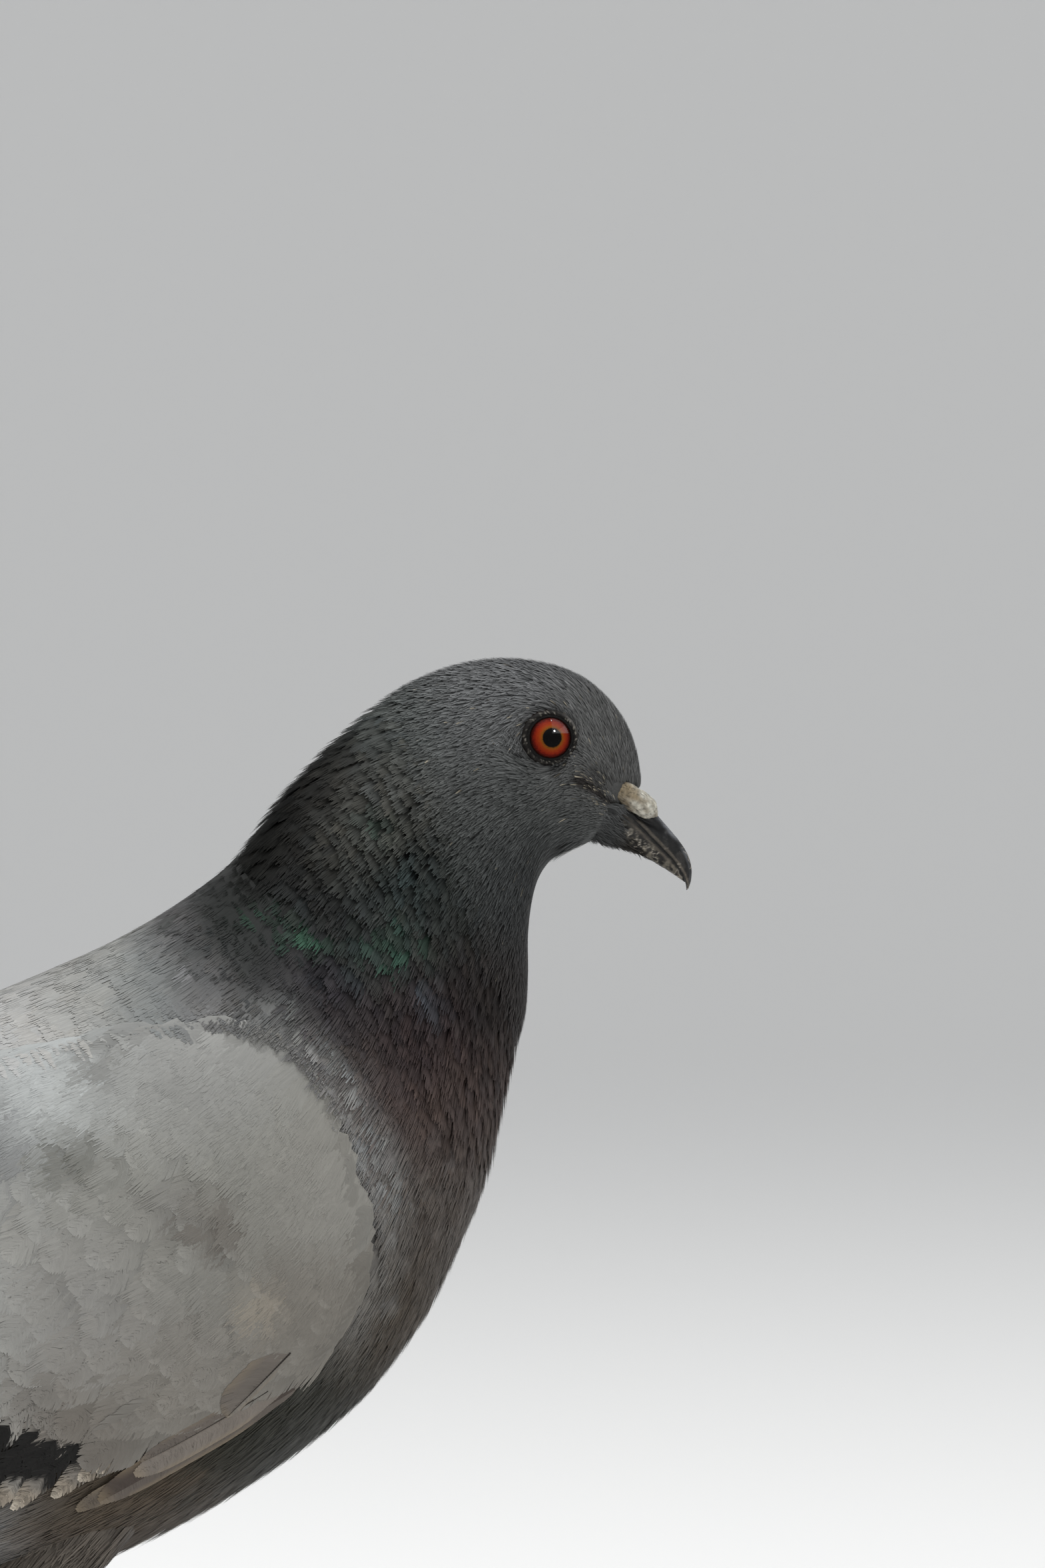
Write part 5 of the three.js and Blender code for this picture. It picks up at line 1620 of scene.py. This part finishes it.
# Long feathers of the hand: root, bend and tip from the side, half widths below and above the
# shaft, heights of root and tip, and colours below and above.
HAND_FEATHERS = [
    [[(69.5, 81), (60, 73.2), (48, 67.5)], [1.8, 3.0], (-0.60, -0.50), ("#6f6a64", "#6f6a64", 0.3)],
    [[(52, 67.5), (39, 61.5), (26.2, 55.0)], [1.6, 2.6], (-0.62, -0.52), ("#5c544b", "#5c544b", 0.3)],
    [[(66, 77), (48, 66.2), (30.2, 56.6)], [2.4, 4.2], (-0.48, -0.38), ("#5d5650", "#453d38")],
    [[(64, 77.5), (50.5, 68.6), (36.4, 61.6)], [2.4, 2.6], (-0.32, -0.22), ("#766f68", "#766f68")],
]


def make_wing(name, side):
    """One folded wing: quills, coverts over them, small feathers at its edge and its own body."""
    rng = default_rng(90 + side)
    body_material = feather_material("Wing coverts")
    quill_material = feather_material("Flight feathers")

    def laid(curves, low, high, half, form, colour, jitter=0.04):
        count = len(curves)
        low = np.broadcast_to(low, count) + rng.normal(0, jitter, count)
        high = np.broadcast_to(high, count) + rng.normal(0, jitter, count)
        shaft, normal, home = wing_shafts(curves, low, high, side)
        half = np.broadcast_to(np.asarray(half, float), (count, 2)) * MM

        def drape(points, v):
            """Down on the folded wing's surface, at the shaft's own height, where it reaches."""
            x, z = points[..., 0], points[..., 2]
            roots, tips = (ends[:, None, None, None, None] for ends in (low, high))
            lain = FOLD.at(*FOLD.chart(x, z), (roots + (tips - roots) * v) * MM)
            away = np.hypot(lain[..., 0] - x, lain[..., 2] - z)
            drop = np.clip(lain[..., 1] * -side - points[..., 1], -0.7 * MM, 0.7 * MM)
            return points + (drop * smooth(1.0 * MM, 0.2 * MM, away))[..., None] * [0.0, 1.0, 0.0]

        flat = form["camber"] == 0
        return vanes(rng, shaft, normal, half, form, colour, home, mirror=-side, drape=drape if flat else None)

    # Quills first: primaries, then secondaries, the lowest under the next.
    primaries = row_curves([(60, 78), (10, 53), (-112, 25)], [(30, 94), (-22, 70), (-78, 51)], PRIMARIES, rng, 0.3)
    order = np.linspace(0, 1, PRIMARIES)
    colour = quill_colour("#26211f", "#4a443f")
    parts = [laid(primaries, -2.1 + 0.6 * order, -1.2 + 0.6 * order, [[5.0, 5.4]], QUILL_FORM, colour)]
    first, last = [(18, 73), (-8, 60), (-44, 46)], [(-6, 121), (-36, 104), (-76, 76)]
    secondaries = row_curves(first, last, SECONDARIES, rng, 0.5)
    order = np.linspace(0, 1, SECONDARIES)
    form = {**QUILL_FORM, "barbs": 90, "shaft": 0.3 * MM, "shaft_colour": linear("#5c5852")}
    colour = covert_colour(rng, SECONDARIES, 0.05)
    parts.append(laid(secondaries, -1.6 + 0.3 * order, -0.5 + 0.4 * order, [[6.0, 7.0]], form, colour))
    quills = feather_piece(f"flight_feathers_{name}", parts, quill_material)

    # The coverts over them: the barred ones, the greater ones, the hand's and the small ones.
    roots = [(48, 74), (37, 84), (25, 97), (12, 110), (2, 120)]
    tips = [(29.5, 62.3), (10.5, 54.8), (-7, 60.5), (-25, 74), (-45, 90)]
    barred = fan_curves(roots, tips, GREATER_COVERTS, rng)
    form = {**LONG_FORM, "barbs": 80, "fray": 0.55, "blunt": 0.4, "streak": 0.22, "shaft_colour": linear("#2c2a28")}
    parts = [laid(barred, -0.5, -0.3, [[3.0, 3.4]], form, bar_colour(rng, GREATER_COVERTS), jitter=0.01)]
    roots = [(53, 82), (42, 89), (32, 99), (22, 112), (10, 127)]
    tips = [(33.0, 66.8), (18, 70.6), (5, 76.8), (-9, 90.5), (-25, 106.5)]
    greater = fan_curves(roots, tips, GREATER_COVERTS, rng)
    form = {**LONG_FORM, "barbs": 70, "fray": 0.4, "blunt": 0.5}
    colour = covert_colour(rng, GREATER_COVERTS, 0.05, bars=False)
    parts.append(laid(greater, -0.26, -0.20, [[4.2, 4.8]], form, colour, jitter=0.004))
    form = {**LONG_FORM, "fray": 0.02, "blunt": 0.75, "shaft_colour": linear("#4b4640")}
    for bend, half, heights, tones in HAND_FEATHERS:
        parts.append(laid(np.array([bend], float), *heights, [half], form, hand_colour(*tones), jitter=0.0))
    curves, sizes = covert_curves(rng)
    half = np.stack([sizes[:, 0], sizes[:, 0]], -1)
    colour = covert_colour(rng, len(curves), bars=False)
    parts.append(laid(curves, -0.17, -0.115, half, {**COVERT_FORM, "fray": 0.22}, colour, jitter=0.003))
    form = {**LONG_FORM, "shaft": 0.2 * MM, "shaft_colour": linear("#2a2622"), "blunt": 0.7}
    thumb = np.array([[(64, 83.4), (58.6, 77.8), (52.6, 71.9)]], float)
    parts.append(laid(thumb, -0.06, 0.02, [[1.0, 5.0]], form, hand_colour("#78736c", "#67615b", 0.3), jitter=0.0))
    line = np.array([[(60, 76.5), (49, 69.6), (37.6, 64.0)]], float)
    parts.append(laid(line, -0.16, -0.10, [[0.3, 2.3]], form, hand_colour("#635c56", "#635c56", 0.2), jitter=0.0))
    coverts = feather_piece(f"wing_coverts_{name}", parts, body_material)

    # Loose small feathers, dense over the wing's front and top edges and sparse behind them.
    def on_edge(t, a):
        points = FOLD.at(t, a)
        x, z = points[..., 0], points[..., 2]
        depth = inside_wing(x, z) / MM
        thumb = np.hypot(x / MM - SHIFT - 61, z / MM - 82) < 8  # millimetres round the thumb feather
        thin = default_rng(9).random(t.shape) > smooth(9, 24, depth) * 0.85
        return (depth > 0.2) & (depth < 34) & (z > 84 * MM) & (x > at_design(-8, 0, 0)[0]) & ~thumb & thin

    t, a = scatter(on_edge, (9.2, 16.0), (0.25, 2.8), FOLD, lambda t, a: 2.0 * MM)
    if side > 0:
        a = TURN - a
    form = {
        **COAT_FORM, "strips": 16, "length": 8.5 * MM, "width": 5.2 * MM, "low": -0.22 * MM, "high": -0.08 * MM,
        "uneven": 0.004 * MM, "stray": 0.12, "fray": 0.09, "taper": 0.7, "thin": 0.5,
        "crown": 0.02 * MM, "streak": 0.02, "tip": 0.03,
    }

    def edge_colour(points, t, a):
        tone = 1 + default_rng(7).normal(0, 0.025, (len(t), 1))
        cloud = 1 + 0.035 * waves(points, 16 * MM, default_rng(CLOUDS))
        return field_colour(WING_FIELDS, *side_view(points)) * tone * cloud[:, None]

    small = feathers(f"marginal_coverts_{name}", rng, FOLD, FOLD.at, t, a, form, body_material, edge_colour, FOLD_CHART)

    core = wing_core(name, side)
    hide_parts(f"wing_{name}")


def wing_core(name, side):
    """The wing's own body: a thin leaf under the coverts, cut to the wing's edge."""
    t = np.linspace(9.2, 21.5, 150)[:, None]
    a = np.linspace(0.35, 2.7, 110)[None, :]
    outer = FOLD.at(t, a, -2.3 * MM)
    inner = FOLD.at(t, a, -3.4 * MM)
    keep = inside_wing(outer[..., 0], outer[..., 2]) > 4.0 * MM
    cells = keep[:-1, :-1] & keep[1:, :-1] & keep[:-1, 1:] & keep[1:, 1:]
    i, j = np.nonzero(cells)
    columns = a.shape[1]
    quad = np.stack([i * columns + j, (i + 1) * columns + j, (i + 1) * columns + j + 1, i * columns + j + 1], -1)
    size = outer.shape[0] * columns
    faces = [quad, quad[:, ::-1] + size]
    for di, dj, corner in ((-1, 0, (0, 3)), (1, 0, (2, 1)), (0, -1, (1, 0)), (0, 1, (3, 2))):
        open_side = ~np.pad(cells, 1)[i + di + 1, j + dj + 1]
        p, q = quad[open_side][:, corner[0]], quad[open_side][:, corner[1]]
        faces.append(np.stack([p, q, q + size, p + size], -1))
    faces = np.concatenate(faces)
    points = np.concatenate([outer.reshape(-1, 3), inner.reshape(-1, 3)])
    uv = bake_home(FOLD_CHART, *(np.broadcast_arrays(t, a if side < 0 else TURN - a))).reshape(-1, 2)
    uv = np.concatenate([uv, uv])
    used = np.unique(faces)
    index = np.zeros(len(points), int)
    index[used] = np.arange(len(used))
    points, uv, faces = points[used], uv[used], index[faces]
    if side > 0:
        points = points * [1, -1, 1]
        faces = faces[:, ::-1]
    if face_normals(points, faces[:1])[0, 1] * side < 0:
        faces = faces[:, ::-1]
    # Painted shade: a darker copy of the wing's colours, darker still by its edges and low down.
    depth = inside_wing(points[:, 0], points[:, 2]) / MM
    dark = 1 - smooth(9, 14, depth) * smooth(70, 78, points[:, 2] / MM)
    colours = toward(field_colour(WING_FIELDS, *side_view(points)) * 0.7, "#3b3531", dark)
    maps = {"OFBake": uv, "Vane": points[:, [0, 2]] / MM}
    return piece(f"wing_body_{name}", points, faces, feather_material("Wing coverts"), colours, None, maps)


# ---- tail ----

TAIL_ROOT = (-54.0, 77.0)
TAIL_PITCH = math.radians(35)
TAIL_LENGTH = 97.0
TAIL_PATCH = np.array([0.06, 0.9])  # each feather's own strip of the bake map
TAIL_BURIED = 16  # how much of each feather the tail's coverts hide
TAIL_PAIRS = 6


def tail_point(along, up, y):
    """Points of the tail's fan, in millimetres along it, up from it and to the left."""
    c, s = math.cos(TAIL_PITCH), math.sin(TAIL_PITCH)
    x = TAIL_ROOT[0] + SHIFT - along * c - up * s
    z = TAIL_ROOT[1] - along * s + up * c
    return np.stack(np.broadcast_arrays(x, y, z), -1) * MM


def make_tail():
    rng = default_rng(77)
    shafts, normals, homes = [], [], []
    for pair in range(TAIL_PAIRS):
        for side in (-1, 1):
            turn = math.radians((pair + 0.5) * 1.7)
            long = TAIL_LENGTH - 0.9 * pair - 0.5
            along = np.linspace(TAIL_BURIED, long, 16)
            y = along * math.tan(turn)
            up = -0.16 * np.abs(y) - pair * 0.6 - 0.2 + (0.25 if side > 0 else 0.0)
            shaft = tail_point(along, up, side * y)
            shafts.append(shaft)
            lift = tail_point(along, up + 1, side * y) - shaft
            lift += np.array([0, side * 0.16, 0]) * MM
            normals.append(unit(lift))
            homes.append([0.07 + 0.075 * (pair * 2 + (side > 0)), 0.5])
    halves = np.full((2 * TAIL_PAIRS, 2), 7.4 * MM)

    def colour(v, share, roots, sign):
        band = smooth(0.74, 0.79, v) * smooth(1.01, 0.96, v)
        shade = toward(linear("#6f7276"), "#1b1a1b", band)
        return toward(shade, "#77787a", 0.7 * smooth(0.97, 1.0, v))

    form = {**QUILL_FORM, "barbs": 130, "blunt": 0.86, "lean": 1.2, "overlap": 1.6}
    shafts, normals, homes = (np.array(values) for values in (shafts, normals, homes))
    parts = [vanes(rng, shafts, normals, halves, form, colour, homes, TAIL_PATCH)]
    fan = feather_piece("tail_feathers", parts, feather_material("Flight feathers"))
    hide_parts("tail")


# ---- legs ----


LEG_RED = "#9c5149"


def scale_relief(t, angle, count, deep):
    """Scutes across the front of a shank or toe, rounded, with creases between."""
    f = np.mod(t * count, 1.0)
    ridge = np.sqrt(np.clip(1 - (2 * f - 1) ** 2, 0, 1)) - 0.7
    return deep * ridge * smooth(-0.5, 0.4, np.cos(angle))


def make_leg(name, side):
    red = grained_material("Scaled skin")
    rng = default_rng(60 + side)
    # Loose feathers down the thigh.
    limb = Limb([[x, side * y, z, r - 0.5, d - 0.5] for x, y, z, r, d in THIGH_ROWS])
    t, a = scatter(lambda t, a: t > 0.15, (0.15, 1.9), ROUND, limb, lambda t, a: 2.0 * MM)
    form = {
        **COAT_FORM, "strips": 7, "length": by_station([0, 1.3, 2], [11.0, 8.0, 4.0]), "width": 4.2 * MM,
        "low": -1.8 * MM, "high": by_station([0, 1.5, 2], [0.3, 0.1, -0.4]),
        "uneven": 0.08 * MM, "stray": 0.16, "fray": 0.14, "taper": 0.4,
        "crown": 0.2 * MM, "streak": 0.12, "tip": 0.5,
    }

    def colour(points, t, a):
        tone = np.clip(1 + default_rng(3).normal(0, 0.12, len(t)), 0.6, 1.5)
        share = smooth(0.6, 1.9, t)[:, None]
        return (linear("#5b554e") * (1 - share) + linear("#4f4841") * share) * tone[:, None]

    fluff = feathers(
        f"thigh_feathers_{name}", rng, limb, limb.at, t, a, form,
        feather_material("Body feathers"), colour, LIMB_CHART,
    )

    # The tarsus, swollen at the heel and over the toes.
    hx, hy, hz = HEEL
    fx, fy, fz = FOOT
    shank = Limb([
        [hx - 0.2, side * hy, hz + 1.5, 2.5, 3.1],
        [hx + 1.2, side * hy, hz - 2.5, 2.9, 3.3],
        [hx + 3.0, side * hy, hz - 8.0, 2.35, 2.75],
        [(hx + fx) / 2 + 1.5, side * hy, (hz + fz) / 2 - 2.0, 2.35, 2.7],
        [fx - 2.0, side * fy, fz + 5.5, 2.6, 2.95],
        [fx - 0.8, side * fy, fz + 1.5, 2.9, 3.1],
        [fx - 0.2, side * fy, fz - 2.4, 2.6, 2.6],
    ])
    t = np.linspace(0, 6, 170)[:, None]
    angle = circle(36)[None]
    facing = angle + math.pi  # the limb's angle runs from its rear
    deep = 0.22 * MM
    relief = scale_relief(t / 6, facing, 15, deep)
    back = 0.05 * MM * np.cos(t * 14) * np.cos(angle * 9)
    rings = shank.at(t, angle, relief + back * smooth(0.4, -0.5, np.cos(facing)))
    # Painted shade in the creases between the scutes, and lighter on their crowns.
    crease_shade = np.clip(relief / deep / 0.3, -1, 1)
    tone = 1 + 0.18 * np.broadcast_to(crease_shade, rings.shape[:2])[..., None]
    shade = linear(LEG_RED) * tone * (1 + 0.10 * waves(rings, 3 * MM, rng)[..., None])
    made = tube_piece(f"shank_{name}", rings, red, shade, 0.003)
    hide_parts(f"tarsus_{name}")

    for toe, (long, heading, half, scutes) in TOES.items():
        def on_foot(along, across, up):
            """Points of the toe and its claw, in millimetres along it, to its left and up."""
            x, y = turned(along, across, side * heading)
            return np.stack(np.broadcast_arrays(FOOT[0] + SHIFT + x, side * FOOT[1] + y, up), -1) * MM

        share = np.linspace(0, 1, scutes * 7)[:, None]
        turn = circle(28)[None]
        joint = 0.10 * np.cos(share * math.pi * 2 * (3 if long > 20 else 2))
        relief = scale_relief(share, turn, scutes, 0.26)
        wide = half * (1 - 0.28 * share) * (1 + joint) + relief * 0.4
        tall = half * 1.72 * (1 - 0.3 * share) * (1 + 0.6 * joint) + relief
        d = 0.5 + (long - 0.5) * share
        w = np.sin(turn) * wide
        z = np.maximum(tall * (0.40 + np.cos(turn) / 2), 0.0) + 0.02 * np.sin(turn * 3)
        rings = on_foot(d, w, np.maximum(z, 0))
        # Painted shade in the creases between the scutes, lighter on their crowns, and darker underneath.
        tone = 1 + 0.18 * np.clip(relief / 0.08, -1, 1)[..., None]
        under = smooth(0.9, 0.2, rings[..., 2] / MM / np.maximum(tall, 0.1))
        shade = linear(LEG_RED) * tone * (1 + 0.1 * waves(rings, 3 * MM, rng)[..., None])
        shade = toward(shade, "#7b4a40", 0.5 * under)
        made = tube_piece(f"toe_scutes_{toe}_{name}", rings, red, shade, 0.003)
        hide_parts(f"toe_{toe}_{name}")

        share = np.linspace(0, 1, 26)[:, None]
        turn = circle(20)[None]
        radius = 1.25 * (1 - 0.92 * share**1.15)
        rise = 1.9 + 0.5 * np.sin(share * math.pi * 0.8) - 1.45 * share**2
        d = long - 0.3 + 6.4 * share
        w = np.sin(turn) * radius * (0.8 - 0.1 * np.cos(turn))
        z = rise + np.cos(turn) * radius * 1.1
        rings = on_foot(d, w, np.maximum(z, 0.02))
        shade = linear("#2e2926") * (1 + 0.2 * waves(rings, 1.5 * MM, rng)[..., None])
        made = tube_piece(f"claw_horn_{toe}_{name}", rings, grained_material("Claw horn"), shade)
        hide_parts(f"claw_{toe}_{name}")


# ---- stage ----


def make_stage(colours):
    scene = bpy.context.scene
    bpy.ops.object.select_all(action="DESELECT")
    bpy.ops.mesh.primitive_circle_add(vertices=128, radius=8.5, fill_type="NGON")
    floor = bpy.context.object
    floor.name = floor.data.name = "studio_floor"
    bpy.ops.object.mode_set(mode="EDIT")
    bpy.ops.mesh.select_all(action="SELECT")
    bpy.ops.mesh.select_mode(type="EDGE")
    bpy.ops.mesh.region_to_loop()
    bpy.ops.mesh.extrude_region_move(TRANSFORM_OT_translate={"value": (0, 0, 6)})
    bpy.ops.object.mode_set(mode="OBJECT")
    for edge in floor.data.edges:
        ends = [floor.data.vertices[i].co.z for i in edge.vertices]
        edge.select = max(ends) < 0.01
    bpy.ops.object.mode_set(mode="EDIT")
    bpy.ops.mesh.bevel(offset=3.0, segments=20, profile=0.5)
    bpy.ops.mesh.select_all(action="SELECT")
    bpy.ops.mesh.normals_make_consistent(inside=True)
    bpy.ops.object.mode_set(mode="OBJECT")
    bpy.ops.object.shade_smooth()
    material, _, shader = new_material("Studio floor")
    shader.inputs["Base Color"].default_value = (*colours.floor, 1)
    shader.inputs["Emission Color"].default_value = (1, 1, 1, 1)
    set_values(shader, Roughness=0.9, Specular_IOR_Level=0.2, Emission_Strength=0.17)
    floor.data.materials.append(material)

    for name, place, size, power in (
        ("key", (-0.35, -0.65, 2.9), 2.0, 78.0),
        ("window", (-0.1, -1.65, 1.72), 0.7, 2.4),
        ("glint", (0.91, -0.93, 1.05), 0.21, 2.4),
    ):
        bpy.ops.object.light_add(type="AREA", location=place)
        light = bpy.context.object
        light.name = f"light_{name}"
        light.data.size = size
        light.data.energy = power
        light.rotation_euler = (Vector((0, 0, 0.12)) - Vector(place)).to_track_quat("-Z", "Y").to_euler()
    world = bpy.data.worlds.new("Studio air")
    world.use_nodes = True
    world.node_tree.nodes["Background"].inputs["Color"].default_value = (0.92, 0.95, 1.0, 1)
    world.node_tree.nodes["Background"].inputs["Strength"].default_value = 0.26
    scene.world = world
    scene.view_settings.view_transform = "Standard"


def make_camera():
    bpy.ops.object.camera_add(location=(at_design(105, 0, 184)[0], -1.965, 0.184), rotation=(math.pi / 2, 0, 0))
    camera = bpy.context.object
    camera.name = "portrait_camera"
    camera.data.lens = 250
    camera.data.sensor_width = 36
    camera.data.clip_start, camera.data.clip_end = 0.05, 60
    bpy.context.scene.camera = camera


# ---- the tools in the sidebar ----


class PigeonSizes(PropertyGroup):
    """Sizes that a user would change."""

    eyeball: FloatProperty(name="Eyeball", description="Radius of the eyeball", default=0.0052, unit="LENGTH")


class PigeonColours(PropertyGroup):
    """Colours that a user would change."""

    floor: FloatVectorProperty(
        name="Floor", description="Colour of the studio floor", default=(0.78, 0.78, 0.77),
        subtype="COLOR", min=0, max=1,
    )


class PIGEON_OT_camera(Operator):
    """Sets up the camera at the bird's right side"""

    bl_idname = "pigeon.camera"
    bl_label = "Camera"

    def execute(self, context):
        make_camera()
        return {"FINISHED"}


class PIGEON_OT_skin(Operator):
    """Lays one skin under all the feathers"""

    bl_idname = "pigeon.skin"
    bl_label = "Skin"

    def execute(self, context):
        make_skin()
        return {"FINISHED"}


class PIGEON_OT_eyes(Operator):
    """Makes the eyeballs and the rings of bare skin round them"""

    bl_idname = "pigeon.eyes"
    bl_label = "Eyes"

    def execute(self, context):
        make_eyes(context.scene.pigeon_sizes)
        return {"FINISHED"}


class PIGEON_OT_bill(Operator):
    """Makes both halves of the bill and the cere"""

    bl_idname = "pigeon.bill"
    bl_label = "Bill and cere"

    def execute(self, context):
        make_bill()
        return {"FINISHED"}


class PIGEON_OT_head(Operator):
    """Covers the face and crown with short feathers"""

    bl_idname = "pigeon.head"
    bl_label = "Head feathers"

    def execute(self, context):
        make_head()
        return {"FINISHED"}


class PIGEON_OT_neck(Operator):
    """Covers the neck with glossy feathers"""

    bl_idname = "pigeon.neck"
    bl_label = "Neck feathers"

    def execute(self, context):
        make_neck()
        return {"FINISHED"}


class PIGEON_OT_body(Operator):
    """Covers breast, belly, back and the tail's root"""

    bl_idname = "pigeon.body"
    bl_label = "Body feathers"

    def execute(self, context):
        make_breast()
        make_back()
        return {"FINISHED"}


class PIGEON_OT_wings(Operator):
    """Makes both folded wings, feather by feather"""

    bl_idname = "pigeon.wings"
    bl_label = "Wings"

    def execute(self, context):
        for name, side in SIDES.items():
            make_wing(name, side)
        return {"FINISHED"}


class PIGEON_OT_tail(Operator):
    """Makes the tail's twelve feathers"""

    bl_idname = "pigeon.tail"
    bl_label = "Tail"

    def execute(self, context):
        make_tail()
        return {"FINISHED"}


class PIGEON_OT_legs(Operator):
    """Makes the thighs' feathers, the shanks, toes and claws"""

    bl_idname = "pigeon.legs"
    bl_label = "Legs and feet"

    def execute(self, context):
        for name, side in SIDES.items():
            make_leg(name, side)
        return {"FINISHED"}


class PIGEON_OT_stage(Operator):
    """Sets up the pale floor and the soft light"""

    bl_idname = "pigeon.stage"
    bl_label = "Stage and light"

    def execute(self, context):
        make_stage(context.scene.pigeon_colours)
        return {"FINISHED"}


OPERATORS = [
    PIGEON_OT_camera, PIGEON_OT_skin, PIGEON_OT_eyes, PIGEON_OT_bill, PIGEON_OT_head, PIGEON_OT_neck,
    PIGEON_OT_body, PIGEON_OT_wings, PIGEON_OT_tail, PIGEON_OT_legs, PIGEON_OT_stage,
]


class PIGEON_PT_tools(Panel):
    """Lists the bird's sizes, colours and pieces."""

    bl_idname = "PIGEON_PT_tools"
    bl_label = "Rock pigeon"
    bl_space_type = "VIEW_3D"
    bl_region_type = "UI"
    bl_category = "Pigeon"

    def draw(self, context):
        layout = self.layout
        for group in (context.scene.pigeon_sizes, context.scene.pigeon_colours):
            for key in group.__annotations__:
                layout.prop(group, key)
        for operator in OPERATORS:
            layout.operator(operator.bl_idname)


CLASSES = [PigeonSizes, PigeonColours, *OPERATORS, PIGEON_PT_tools]


def register():
    for item in CLASSES:
        bpy.utils.register_class(item)
    bpy.types.Scene.pigeon_sizes = PointerProperty(type=PigeonSizes)
    bpy.types.Scene.pigeon_colours = PointerProperty(type=PigeonColours)


def unregister():
    del bpy.types.Scene.pigeon_colours
    del bpy.types.Scene.pigeon_sizes
    for item in reversed(CLASSES):
        bpy.utils.unregister_class(item)


def main():
    """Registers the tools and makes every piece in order."""
    register()
    for operator in OPERATORS:
        group, step = operator.bl_idname.split(".")
        getattr(getattr(bpy.ops, group), step)()


if __name__ == "__main__":
    main()
